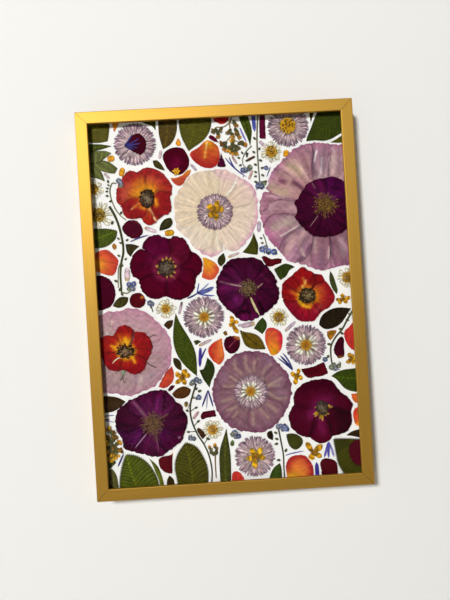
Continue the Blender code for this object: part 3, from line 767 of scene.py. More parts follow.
def petal(heap, outline, origin, lift, stops, rng, strokes=(), above=(), pleat=0.09, streak=0.12, edge=None,
          crease=0.1, shade=0.35, ragged=0.13, fold=5.0):
    """One pressed petal that fans out from its origin, with folds, creases and streaks, painted light and
    shade on its folds and creases, and painted shadow from the petals above.

    edge is (colour, mm wide, strength). pleat and crease are heights in mm, fold is the pleats' pitch in mm.
    crease also sets the painted shade in the creases, and streak sets the fine streaks and patches as well as
    the painted light and shade on the folds.
    """
    streak_gap, patch_size, crease_gap = 1.7, 13, 3.4  # mm
    outline = outline + rng.normal(0, ragged, outline.shape)
    points, faces = fill(outline, rng)
    arms = points - origin
    out = np.linalg.norm(arms, axis=1)
    reach = out.max()
    across = np.arctan2(arms[:, 1], arms[:, 0]) * reach * 0.6
    share = out / reach
    tint = ramp(share, stops)
    fade = np.clip(share * 2, 0, 1)
    tint = tint * (1 + 0.7 * streak * waves(across, streak_gap, rng) * fade)[:, None]
    tint = tint * (1 + 0.4 * streak * waves(points.sum(1), patch_size, rng))[:, None]
    rim_gap = gap(points, outline, True)
    if edge:
        colour, wide, strength = edge
        tint = mix(tint, colour, strength * np.exp(-rim_gap / wide))
    tint = brush(tint, points, strokes)
    covered = np.zeros(len(points), bool)
    # Painted shadow: darker near the edge of each petal that lies above this one.
    for other in above:
        under = inside(points, other)
        covered |= under
        near = np.exp(-gap(points, other, True) / SHADE_WIDE)
        tint = tint * (1 - shade * near * ~under)[:, None]
    pleats = across * math.pi / (fold * rng.uniform(0.7, 1.3)) + waves(out, 4 * fold, rng)
    folds = 1.2 - 2.4 * np.abs(np.sin(pleats))
    folds = 0.5 * folds + 0.6 * waves(across + waves(out, 3 * fold, rng), 0.8 * fold, rng)
    creases = crumple(points, crease_gap, rng)
    # Painted light and shade: lighter where the folds rise and between the creases, darker in the folds'
    # hollows and in the creases.
    tint = tint * (1 + (streak * fade * folds + 0.6 * crease * creases))[:, None]
    relief = pleat * share * (folds + 1) + crease * np.clip(creases, -0.3, 2) * np.clip(rim_gap / 1.5, 0, 1)
    height = np.maximum(lift + relief * ~covered, LOWEST)
    heap.add(np.column_stack([points, height]), faces, tint, np.column_stack([out, across, rim_gap]))


def flower_petals(heap, name, rim, centre, petals, strokes, lift, step=0.1, ruffle=0.3, **looks):
    """A flower's petals in the order they lie, lowest first.

    A petal is (start, end, stops, side in from end, side out to start). Its rim runs anticlockwise from start
    to end. A side that is None or left out is hidden under the neighbour.
    """
    rng = random_for(name)
    centre = np.array(centre, float)
    rim = ruffled(even(rim), ruffle, RUFFLE_WAVE, rng)
    outlines = []
    for start, end, _, *sides in petals:
        side_in, side_out = (*sides, None, None)[:2]
        section = cut_rim(rim, start, end)
        inward = curve_through([section[-1], *(side_in or lap(end, centre, LAP_DEGREES)), centre])[1:-1]
        outward = curve_through([centre, *(side_out or lap(start, centre, -LAP_DEGREES)[::-1]),
                section[0]])[:-1]
        outlines.append(even(np.vstack([section, inward, outward])))
    for i, (outline, spec) in enumerate(zip(outlines, petals)):
        petal(heap, outline, centre, lift + step * i, spec[2], rng, strokes, outlines[i + 1 :], **looks)


def pushed(outline, amount):
    """An outline with each point pushed outwards by its own amount in mm."""
    chord = np.roll(outline, -1, 0) - np.roll(outline, 1, 0)
    normal = np.stack([chord[:, 1], -chord[:, 0]], 1)
    normal /= np.linalg.norm(normal, axis=1, keepdims=True) + TINY
    return outline + normal * amount[:, None]


def ruffled(outline, depth, wave, rng):
    """An outline that waves in and out by depth mm, every few mm."""
    step = np.linalg.norm(outline - np.roll(outline, 1, 0), axis=1)
    return pushed(outline, depth * waves(np.cumsum(step), wave, rng))


def leaf(heap, outline, colour, midrib, rng, vein_gap, teeth, rib, vein):
    """A pressed leaf with its midrib (foot to tip) and raised side veins; teeth mm deep along its edge."""
    slope = 0.75  # mm that a side vein runs forward in each mm outward
    tooth_gap, net_size, mottle_long, mottle_wide = 1.15, 2.6, 11, 9  # mm
    if teeth:
        outline = even(outline, tooth_gap)
        outline = pushed(outline, teeth * np.where(np.arange(len(outline)) % 2, 1.1, -0.6))
    points, faces = fill(outline, rng, min(PITCH, 0.36 * vein_gap))
    along, side = follow(points, curve_through(midrib))
    off = np.abs(side)
    phase = (along - slope * off + 0.02 * off**2) / vein_gap + 0.25 * waves(along, 14, rng)
    veins = np.exp(-(((phase % 1 - 0.5) / 0.17) ** 2)) - 0.3
    net = crumple(points, net_size, rng)
    mottle = waves(along, mottle_long, rng) * waves(side, mottle_wide, rng)
    tint = rgb(colour) * DRIED * (1 + 0.12 * mottle + 0.08 * net + vein * veins)[:, None]
    rim_gap = gap(points, outline, True)
    tint = tint * (1 - 0.25 * np.exp(-rim_gap / 0.7))[:, None]
    near_rib = np.exp(-((side / 0.5) ** 2))
    rib_tone = {"pale": 0.45, "dark": -0.4, "none": 0.12}[rib]
    tint = tint * (1 + rib_tone * near_rib)[:, None]
    relief = (0.13 * (1 + vein) * veins + 0.05 * net) * np.clip(rim_gap / 1.2, 0, 1)
    height = LAYER_1 + 0.15 * near_rib + relief
    heap.add(np.column_stack([points, height]), faces, tint, np.column_stack([along, side, rim_gap]))


# ---------------------------------------------------------------- hearts, rays and small flowers


def seed_spiral(count):
    """The spiral that a seed head grows in: for each seed its share of the radius, and its angle."""
    return [(math.sqrt((i + 0.5) / count), i * GOLDEN_TURN) for i in range(count)]


def dome(heap, centre, radius, lift, high, colours, count, rng, speckle=None):
    """A daisy's disc: florets on a low dome, their colours from its middle outwards."""
    for share, turn in seed_spiral(count):
        place = np.array(centre) + radius * share * heading(turn) + rng.uniform(-0.12, 0.12, 2)
        band = int(share * len(colours) + rng.uniform(-0.3, 0.3))
        colour = colours[min(band, len(colours) - 1)]
        if speckle and rng.random() < 0.22:
            colour = speckle
        wide = 2.1 * radius / math.sqrt(count) * rng.uniform(0.8, 1.2)
        grain(heap, place, wide, lift + high * (1 - share**2), colour, 0.55, rng.uniform(0, 6))


def clump(seeds, centre, half, count, lift, colours, rng, wide=(1.1, 1.8)):
    """Anthers packed in an oval, their colours from its middle outwards."""
    for share, turn in seed_spiral(count):
        place = np.array(centre) + share * np.array(half) * heading(turn) + rng.normal(0, 0.25, 2)
        band = np.clip(share * len(colours) + rng.uniform(-1.7, 1.4), 0, len(colours) - 1)
        grain(seeds, place, rng.uniform(*wide), lift + rng.uniform(0, 0.3), colours[int(band)], 0.6, turn)


def ray_ring(heap, centre, inner, reach, count, wide, lifts, stops, rng, kind, vary, spread, edge, ripple):
    """A ring of straps round a centre.

    reach is a function of the angle in radians, and lifts are those of foot and tip. vary is how much the
    tone differs from strap to strap, and spread how much of its reach one may lack.
    """
    centre = np.array(centre, float)
    for i in range(count):
        turn = FULL_TURN * (i + rng.uniform(-0.25, 0.25)) / count
        out = reach(turn) * (1 - rng.uniform(0, spread))
        lean = rng.uniform(-0.06, 0.06)
        tone = 1 + rng.normal(0, vary)
        high = rng.uniform(-0.02, 0.04)
        foot, tip = centre + heading(turn) * inner, centre + heading(turn + lean) * out
        width, bend = wide * rng.uniform(0.85, 1.2), rng.uniform(-0.4, 0.4)
        lift = (lifts[0] + high, lifts[1] + high)
        strap(heap, foot, tip, width, lift, stops, kind, tone, bend, edge, 0.26, ripple)


def stamens(heap, seeds, centre, inner, reach, count, lift, colour, tip_colour, rng):
    """A star of fine stamens with anthers at their tips."""
    centre = np.array(centre, float)
    stops = [(0, colour), (1, tip_colour)]
    for i in range(count):
        turn = FULL_TURN * (i + rng.uniform(-0.5, 0.5)) / count
        out = heading(turn) * rng.uniform(inner, reach)
        foot, tip = centre + out * 0.25, centre + out
        high, tone, bend = lift + rng.uniform(0, 0.15), 1 + rng.normal(0, 0.15), rng.uniform(-0.5, 0.5)
        strap(heap, foot, tip, 0.6, high, stops, "spike", tone, bend)
        grain(seeds, tip, rng.uniform(0.6, 1.0), lift + 0.1, tip_colour, 0.5, turn)


def aster(name, centre, reach, lift, colours, top=None):
    """A lilac aster, its strap florets in three rings, pressed flat."""
    rng = random_for(name)
    rays = Heap(SKINS["lilac_petal"])
    seeds = Heap(SKINS["heart"], closed=True)
    petals = Heap(SKINS["white_petal"])
    gold = Heap(SKINS["yellow_petal"])
    dark, mid, pale = colours
    under = [(0, "8C7468"), (0.4, mid), (0.85, dark), (1, dark)]
    over = [(0, "A8948A"), (0.4, pale), (0.72, pale), (0.9, mid), (1, dark)]
    # With a flower or disc on top, the short ring starts dark at its foot: painted shadow round that flower.
    short = [(0, "6A5A4E"), (0.5, "8A7870"), (0.72, pale), (0.9, mid), (1, dark)] if top else over

    def edge_at(turn):
        return reach * (0.95 + 0.05 * abs(math.sin(turn * 8.5)))

    def short_edge(turn):
        return reach * 0.84

    for edge, count, wide, low, high, stops, spread in (
        (edge_at, 66, 1.6, 0, 0, under, 0.04),
        (edge_at, 70, 1.15, 0.1, 0.12, over, 0.1),
        (short_edge, 56, 1.05, 0.2, 0.24, short, 0.35),
    ):
        lifts = (lift + low, lift + high)
        ray_ring(rays, centre, 1.5, edge, count, wide, lifts, stops, rng, "aster", 0.13, spread, 0.34, 0.12)
    if top:
        top(petals, gold, seeds, rng, lift + 0.5)
    make_piece(name + "_pressed", [rays, petals, gold, seeds], (name,))


def yellow_floret(heap, seeds, centre, tips, lift, rng, wide, colour):
    """Golden petals from a brown heart, each to a tip of its own."""
    stops = [(0, "6A4A12"), (0.25, "A87A1A"), (0.5, colour), (0.8, "D09A1C"), (1, colour)]
    for tip in tips:
        tone, bend = rng.normal(0.84, 0.07), rng.uniform(-0.7, 0.7)
        width, high = wide * rng.uniform(0.8, 1.05), lift + rng.uniform(0, 0.15)
        strap(heap, centre, tip, width, high, stops, "petal", tone, bend, 0.05, 0.1, 0.3)
    for _ in range(16):
        grain(seeds, np.array(centre) + rng.normal(0, 0.9, 2), rng.uniform(0.6, 1.1), lift + 0.25, "8A5A1A")


# ---------------------------------------------------------------- the large flowers


def pressed_flower(name, slot, centre, lift, petals, strokes=(), hearts=None, step=0.1, **looks):
    """A large flower: its petals, and the heart that lies on them."""
    sheet = Heap(SKINS[slot])
    threads = Heap(SKINS["stem"])
    gold = Heap(SKINS["yellow_petal"])
    seeds = Heap(SKINS["heart"], closed=True)
    flower_petals(sheet, name, rim_of(name), centre, petals, strokes, lift, step, **looks)
    if hearts:
        hearts(threads, gold, seeds, random_for(name + "heart"), lift + step * len(petals) + 0.05)
    make_piece(name + "_pressed", [sheet, threads, gold, seeds], (name,))


def red_flowers():
    hot = [(0, "D89A14"), (0.3, "C87E14"), (0.46, "B04418"), (0.7, "A42818"), (1, "981A20")]
    deep = [(0, "C87A14"), (0.28, "A82C10"), (0.4, "8A0A0C"), (0.8, "82060E"), (1, "901016")]

    def heart_left(threads, gold, seeds, rng, lift):
        clump(seeds, (-57.3, 83.6), (5.8, 7.2), 150, lift,
            ("86765E", "6E5C46", "54422E", "34281C", "1E1610"), rng)

    pressed_flower("red_flower_left", "red_petal", (-57.5, 83.5), LAYER_1, [
        ((-37.4, 87.5), (-63.5, 105.2), hot),
        ((-61, 105.2), (-80.5, 81), hot, None, [(-58, 90), (-59, 99)]),
        ((-64, 68.5), (-46, 69), [(0, "D89A18"), (0.4, "C86418"), (0.7, "A02010"), (1, "8E1008")]),
        ((-47, 69), (-37.3, 88), deep, [(-41, 88), (-47, 89), (-52, 86)]),
        ((-78.5, 79), (-63, 68.5), deep, None, [(-63, 85), (-68, 85), (-73, 83)]),
    ], strokes=[
        ("E8C890", 0.5, 0.9, [(-63.9, 80.4), (-70.2, 75.7)]), ("C86A18", 1.6, 0.7, [(-62, 82), (-68, 77)]),
        ("E8CE98", 0.5, 0.9, [(-56.5, 76.2), (-53.6, 71.5), (-51.5, 65.7)]),
        ("F0DCB0", 0.5, 0.8, [(-53, 68), (-50.6, 64.5)]),
        ("E6C070", 0.6, 0.6, [(-50, 65), (-50.5, 66.5)]),
        ("6A0A08", 0.4, 0.6, [(-50.5, 64.5), (-51.5, 60.5)]),
        ("D48A14", 4.0, 0.75, [(-66, 88), (-60, 93), (-53, 91.5)]),
        ("C8741C", 3.2, 0.55, [(-69, 90), (-62, 98), (-54, 97)]),
        ("8A1018", 2.2, 0.7, [(-76, 96), (-66, 103.5), (-52, 104), (-42, 97)]),
        ("C0604A", 3.6, 0.5, [(-72, 95), (-76, 86)]), ("B84A34", 3.0, 0.5, [(-56, 100), (-48, 97)]),
        ("8A1820", 2.0, 0.5, [(-79, 84), (-80, 90)]), ("7A0A0C", 1.0, 0.6, [(-57, 104), (-58, 98)]),
        ("E0A018", 2.0, 0.8, [(-50.5, 82), (-50, 78)]), ("D89018", 1.6, 0.8, [(-63, 77), (-60, 75.5)]),
    ], hearts=heart_left, streak=0.1, pleat=0.07, edge=("5A0408", 0.5, 0.5))

    def heart_right(threads, gold, seeds, rng, lift):
        clump(seeds, (65.8, -1.3), (6.6, 6.0), 140, lift, ("7E6C4A", "64502E", "44341C", "241A0C"), rng)
        stamens(threads, seeds, (66.5, -1.5), 4, 7.2, 26, lift, "5A4424", "3A2A16", rng)
        for tip in ((61.5, -0.5), (59.5, 2.2), (60.5, -6.5), (73, 0.5), (70, -9)):
            strap(gold, (66, -1.5), tip, 0.9, lift, [(0, "C88A20"), (1, "E0B030")], "spike")

    right = [(0, "DCA018"), (0.36, "C86E14"), (0.52, "A02E1C"), (0.78, "90101C"), (1, "820818")]
    low = [(0, "D09818"), (0.34, "BE6814"), (0.46, "92101E"), (0.8, "860424"), (1, "7C061A")]
    pressed_flower("red_flower_right", "red_petal", (66.5, -1.5), LAYER_1, [
        ((81, 10.5), (70, 18), [(0, "62080A"), (0.6, "74040E"), (1, "8A0812")]),
        ((75.5, -15.3), (81.5, 10), right, [(74, 7)]),
        ((46, -3), (56.5, -19.5), low),
        ((56, -19.5), (75.5, -15.3), low),
        ((58.5, 17), (45.5, -2), [(0, "D89A18"), (0.38, "BC5C14"), (0.52, "8E0A10"), (1, "860610")], None,
            [(64, 6)]),
        ((72, 16.6), (55.5, 16.6), [(0, "C88A1C"), (0.35, "B85A14"), (0.5, "900A10"), (1, "8E0810")],
            [(60, 8)], [(69.5, 5), (72, 10)]),
    ], strokes=[
        ("7A0808", 0.6, 0.7, [(79.5, 14.5), (74.5, 12), (69.5, 7.5)]),
        ("E8C860", 1.1, 0.85, [(62.3, 6), (62.6, 6.6)]), ("E0C878", 0.9, 0.8, [(64.5, 8.5), (65.2, 11)]),
        ("D8902C", 1.2, 0.6, [(63, 13), (64.5, 9)]),
        ("E0A828", 1.3, 0.75, [(58, 2), (59.5, -1.5), (59, -5)]), ("D88A20", 2.4, 0.5, [(54, 3), (57, 1)]),
        ("D09020", 0.9, 0.6, [(61, -8), (65, -10)]),
        ("5A0410", 0.9, 0.6, [(46, -3), (55, -5)]),
        ("E8B01C", 1.5, 0.8, [(60, -6.5), (63, -9.5), (67.5, -10.5)]),
        ("B85428", 3.0, 0.5, [(74, 4), (78, 2)]),
        ("6E0612", 0.7, 0.6, [(66, -12), (67, -20)]), ("D8A018", 1.2, 0.6, [(58, -4), (61, -8.5)]),
        # The near-black lines 4A0408, 50040C and 4E0408, laid in from the rim along the petals, are painted
        # shadow between the petals.
        ("4A0408", 1.3, 0.65, [(49, 9), (58, 2.5)]), ("50040C", 1.1, 0.6, [(75.5, -15), (70.5, -8)]),
        ("4E0408", 1.2, 0.6, [(72, 16), (68, 8)]), ("C06A58", 1.5, 0.35, [(72, -14), (76, -10)]),
    ], hearts=heart_right, streak=0.1, pleat=0.07, edge=("5A0408", 0.5, 0.5))

    def heart_on_lilac(threads, gold, seeds, rng, lift):
        clump(seeds, (-81.2, -37), (6.6, 4.9), 120, lift,
            ("7A6048", "8E7656", "54402C", "261A14", "1E1410"), rng, (0.9, 1.7))
        for tip in ((-87.5, -33.5), (-85.5, -31.8), (-81.5, -31), (-76.5, -32.5), (-88, -38)):
            grain(seeds, tip, 1.8, lift, "1A120C")
        strap(threads, (-86, -41.2), (-92.5, -46), 1.0, lift, [(0, "E8E0C8"), (1, "D8C8A0")], "sliver",
            bend=0.5)

    flame = [(0, "C88414"), (0.36, "D89A18"), (0.56, "B03A0E"), (0.75, "8E0A0C"), (1, "860610")]
    plain = [(0, "C88414"), (0.32, "D08A14"), (0.46, "9A180C"), (0.75, "880412"), (1, "7E0410")]
    pressed_flower("red_flower_on_lilac_flower", "red_petal", (-81, -36), LAYER_2, [
        ((-66, -49), (-61, -28), plain),
        ((-87, -51.8), (-66.5, -50), plain),
        ((-101.5, -38.5), (-87, -52), plain, [(-86, -46)]),
        ((-88, -22), (-101.5, -37.5), [(0, "C88414"), (0.36, "CC7214"), (0.52, "9E1C10"), (1, "8C0A10")],
            [(-95, -36.5), (-88, -36.5)]),
        ((-74, -21), (-88, -21), flame, [(-86, -28)], [(-76, -28)]),
        ((-60.8, -36.5), (-74, -21.6), [(0, "D89A18"), (0.28, "D08A14"), (0.44, "96100E"), (1, "840612")],
            [(-75, -28)], [(-70, -35)]),
    ], strokes=[
        ("E0A018", 1.5, 0.9, [(-80, -32), (-81, -27)]), ("E0A018", 1.4, 0.85, [(-76, -42), (-74.5, -46)]),
        ("E0A018", 1.4, 0.85, [(-88, -34.5), (-92, -32)]), ("5A0208", 0.7, 0.6, [(-76, -31), (-73.5, -23)]),
        ("B04A14", 2.0, 0.5, [(-84, -28), (-86, -24)]), ("7E0A0A", 0.6, 0.7, [(-67, -42), (-63.5, -33)]),
        ("7A0808", 0.5, 0.5, [(-97, -37), (-90, -38)]),
    ], hearts=heart_on_lilac, streak=0.1, pleat=0.07, edge=("5A0208", 0.5, 0.5))


def burgundy_flowers():
    wine = [(0, "4A0A24"), (0.3, "4C0024"), (0.7, "50001C"), (1, "48001A")]
    violet = [(0, "4A0828"), (0.4, "50022C"), (1, "4E0226")]

    def heart_left(threads, gold, seeds, rng, lift):
        tips = (
            (-48, 35.5), (-41, 35.6), (-44.5, 36.5), (-37, 28.5),
            (-37.8, 23), (-53.8, 29.5), (-52.5, 23.5), (-45, 19), (-41, 19.8), (-38.5, 32.5),
        )
        tones = [(0, "6A3A18"), (0.75, "A87428"), (1, "C89A58")]
        for tip in tips:
            wide, tone = rng.uniform(1.6, 3.2), rng.uniform(0.8, 1.05)
            strap(gold, (-45.5, 27.8), tip, wide, lift - 0.1, tones, "lobe", tone)
        clump(seeds, (-45.5, 27.6), (6.5, 6.3), 170, lift, ("6E6256", "5C5044", "483C34", "241E1A"), rng,
            (1.0, 1.6))
        strap(threads, (-40.5, 20.5), (-38, 17.8), 0.6, lift, [(0, "B07A6A"), (1, "8A3A4A")], "spike")

    pressed_flower("burgundy_flower_left", "maroon_petal", (-45.5, 27.5), LAYER_1, [
        ((-22.3, 18.5), (-24.8, 40), wine),
        ((-46, 4.6), (-22.3, 18), wine),
        ((-68, 19), (-47, 5), wine, [(-46.3, 12), (-46, 20)]),
        ((-24.8, 40), (-43, 50.7), [(0, "4A0A20"), (1, "560424")], None, [(-38, 29.5), (-34, 29), (-28, 32)]),
        ((-64, 43.6), (-67.5, 19.5), wine, [(-60, 22), (-53, 24)], [(-48.5, 33), (-55.5, 39.5)]),
        ((-42.8, 50.7), (-63.5, 44), violet, [(-55, 38)], [(-44, 34.5), (-42.5, 37), (-41.5, 44)]),
    ], strokes=[
        ("8A3048", 2.2, 0.55, [(-45.5, 36.5), (-52, 34.5), (-54.5, 28), (-52, 21), (-45.5, 18.5), (-38.5, 21),
                               (-36.3, 28), (-39, 34.5), (-45.5, 36.5)]),
        ("6E0A34", 3.0, 0.35, [(-36, 40), (-33, 44)]), ("34001A", 2.5, 0.5, [(-60, 33), (-66, 30)]),
        ("64083A", 4.0, 0.5, [(-56, 42), (-58, 34)]), ("30000E", 2.0, 0.5, [(-30, 12), (-36, 18)]),
    ], hearts=heart_left, edge=("22000A", 0.7, 0.6), streak=0.06, pleat=0.06, shade=0.5)

    def heart_right(threads, gold, seeds, rng, lift):
        tips = (
            (81, -91), (79, -89.5), (77.5, -97), (75.3, -98.3),
            (72, -102), (69.8, -100.5), (65, -96.5), (66, -98.3), (66.3, -90.5), (70.5, -86.5),
        )
        tones = [(0, "6A4A18"), (0.7, "B08420"), (1, "C89C48")]
        for tip in tips:
            strap(gold, (72.5, -92), tip, 1.7, lift - 0.1, tones, "lobe", rng.uniform(0.8, 1.1))
        clump(seeds, (72.5, -91.3), (4.9, 5.6), 130, lift, ("6E6250", "584E3E", "382F26", "1A1612"), rng,
            (1.0, 1.6))

    inner = [(0, "74204A"), (0.25, "600A3A"), (0.5, "4A001E"), (1, "420016")]
    pressed_flower("burgundy_flower_right", "maroon_petal", (72.5, -92), LAYER_1, [
        ((50, -89), (62, -114.8), inner),
        ((61, -114.7), (79.5, -114.7), [(0, "5C0830"), (1, "4A001C")], [(76.5, -104)], [(67.5, -103)]),
        ((79.5, -114.7), (96, -92), [(0, "500626"), (0.5, "3C0014"), (1, "420016")], None, [(76, -103)]),
        ((95.5, -96), (87, -78.5), inner, None, [(86, -92), (80, -91.5)]),
        ((88, -79.8), (49.6, -88), inner, [(60, -91)], [(82, -85)]),
    ], strokes=[
        ("2E000E", 0.6, 0.5, [(95, -92), (86, -91.5)]), ("6A0A3A", 3.5, 0.5, [(74, -84), (80, -84)]),
        ("200008", 5.0, 0.8, [(86, -99), (91, -104), (87, -111)]),
        ("1C0008", 1.6, 0.7, [(81, -92), (95, -98)]),
        ("1C0008", 0.8, 0.8, [(77.6, -98.8), (78.8, -114)]),
        ("24000C", 0.8, 0.8, [(66.5, -98.8), (60.6, -114)]),
        ("740E4A", 3.2, 0.6, [(71, -101), (71.5, -110)]), ("7C1454", 2.6, 0.6, [(66.5, -93), (62, -98)]),
        ("2A0010", 5.0, 0.5, [(62, -72), (76, -72), (84, -78)]),
    ], hearts=heart_right, edge=("20000A", 0.7, 0.6), streak=0.07, pleat=0.07, shade=0.5)


def roses():
    plum = [(0, "4C2038"), (0.35, "40062A"), (0.7, "3A0324"), (1, "34031C")]
    bright = [(0, "562842"), (0.4, "50103E"), (0.8, "480832"), (1, "3A0522")]

    def star(centre, reach, dark, pale_tone, pale=()):
        def hearts(threads, gold, seeds, rng, lift):
            stamens(threads, seeds, centre, reach * 0.35, reach * 1.05, 120, lift, dark, pale_tone, rng)
            tones = (pale_tone, dark, pale_tone, dark, "2E1E16")
            clump(seeds, centre, (reach * 0.6, reach * 0.6), 110, lift + 0.05, tones, rng, (0.6, 1.2))
            for foot, tip, wide, colour in pale:
                strap(threads, foot, tip, wide, lift + 0.05, [(0, colour), (1, colour)], "sliver")
        return hearts

    pressed_flower("rose_middle", "purple_petal", (19, 7.5), LAYER_1, [
        ((4, -10), (30, -14), [(0, "3A0828"), (0.6, "4C0630"), (1, "5A0A40")]),
        ((30, -13.8), (43.6, 6), plum),
        ((-6.4, 8), (5, -11), bright),
        ((42.5, 11), (27, 31), plum),
        ((28, 30.5), (-1, 24.5), plum),
        ((-0.5, 25), (-6.5, 5), bright),
    ], strokes=[
        ("1E0014", 1.0, 0.8, [(17, -2), (17.5, -8), (14.5, -12)]),
        ("240018", 0.8, 0.7, [(5, -10), (11, -7.5), (16, -4)]),
        ("240018", 1.0, 0.7, [(24, -10.5), (32, -10), (38, -7)]),
        ("6E1860", 2.4, 0.7, [(8, 0), (9.5, -3)]), ("9A7080", 0.9, 0.7, [(13, 9.5), (5, 11.5), (-3, 14)]),
        ("641450", 2.2, 0.6, [(-2, 10), (3, 8)]), ("14000C", 1.3, 0.8, [(8, -13), (14, -10.5), (19, -12)]),
        ("14000C", 1.0, 0.7, [(27, -4), (30, -11)]), ("62183E", 1.6, 0.6, [(31, 18), (36, 12)]),
        ("200014", 1.4, 0.6, [(0, 20), (8, 14)]),
        ("2A0420", 1.2, 0.5, [(28, 22), (35, 15)]), ("5A1448", 1.4, 0.5, [(10, 26), (14, 17)]),
        ("5A1448", 1.2, 0.45, [(22, 27), (21, 18)]), ("3A0A30", 1.6, 0.5, [(32, 6), (40, 3)]),
    ], hearts=star((19, 7.5), 7.5, "44301F", "76603F", [
        ((14, 9.3), (4, 11.8), 0.9, "A88A80"), ((20.5, 0), (25, -12.5), 1.8, "C8B688"),
        ((22.5, -4), (26.8, -15), 1.0, "D8CCA4"), ((26, 7), (31, 11), 1.0, "9A7A68"),
    ]),
    edge=("1E0012", 0.5, 0.5), streak=0.2, pleat=0.12, ruffle=0.4, fold=7)
    pressed_flower("rose_bottom_left", "purple_petal", (-63.5, -95.5), LAYER_1, [
        ((-88, -108), (-72, -119.5), plum),
        ((-73, -119), (-48, -115.5), bright),
        ((-92.5, -92), (-88, -110), [(0, "52204A"), (0.4, "40063A"), (1, "38042A")]),
        ((-50, -117), (-36, -94), [(0, "52204A"), (0.35, "44063A"), (0.8, "42002A"), (1, "3E0022")]),
        ((-37, -99), (-45, -78), plum),
        ((-81, -76), (-92, -95), plum),
        ((-45, -78), (-81.5, -76.5), bright),
    ], strokes=[
        ("1C0014", 0.9, 0.8, [(-53, -74), (-53.3, -79), (-54.5, -84)]),
        ("6A1A58", 2.6, 0.7, [(-57, -76), (-59, -84)]),
        ("80506A", 1.6, 0.7, [(-69, -89), (-74, -82), (-77.5, -77.5)]),
        ("1C0014", 2.0, 0.5, [(-88, -96), (-78, -97)]), ("6A5A30", 2.2, 0.6, [(-61.5, -104), (-61, -108)]),
        ("6A1460", 2.6, 0.6, [(-76, -104), (-78, -110)]),
        ("C8BCC8", 0.9, 0.8, [(-43, -108), (-42.6, -107.8)]),
        ("280420", 1.2, 0.5, [(-82, -100), (-76, -99)]),
    ], hearts=star((-63.5, -95.5), 9.5, "4A2E1E", "80603E", [
        ((-68.5, -103), (-78.5, -114), 0.9, "A878A0"), ((-56, -91.5), (-50, -88), 1.2, "6A4438"),
        ((-61, -106), (-59.5, -118), 0.7, "7A4068"), ((-70, -88), (-73, -84), 0.9, "7E5A60"),
    ]),
    edge=("1E0012", 0.5, 0.5), streak=0.2, pleat=0.12, ruffle=0.4, fold=7)
    pressed_flower("rose_on_ruffled_flower", "purple_petal", (84.5, 70.5), LAYER_2 + 0.3, [
        ((62, 58), (84, 45), plum),
        ((83, 45), (106, 56), plum),
        ((105, 54), (100, 89), plum),
        ((106, 83), (80, 91.5), [(0, "52204A"), (0.5, "46063C"), (1, "3C0430")]),
        ((81, 91.5), (61, 67), bright),
        ((65, 80), (61.5, 59), plum),
    ], strokes=[
        ("240018", 0.8, 0.6, [(66, 62), (74, 66)]), ("C0A090", 0.4, 0.7, [(75, 88), (77, 84)]),
        ("240018", 1.0, 0.6, [(90, 84), (97, 82)]),
    ], hearts=star((84.5, 70.5), 10.5, "4A3210", "866226", [((78, 62), (71, 53.5), 0.5, "9A8078")]),
    edge=("1E0012", 0.5, 0.5), streak=0.16, pleat=0.1, ruffle=0.35, fold=7)


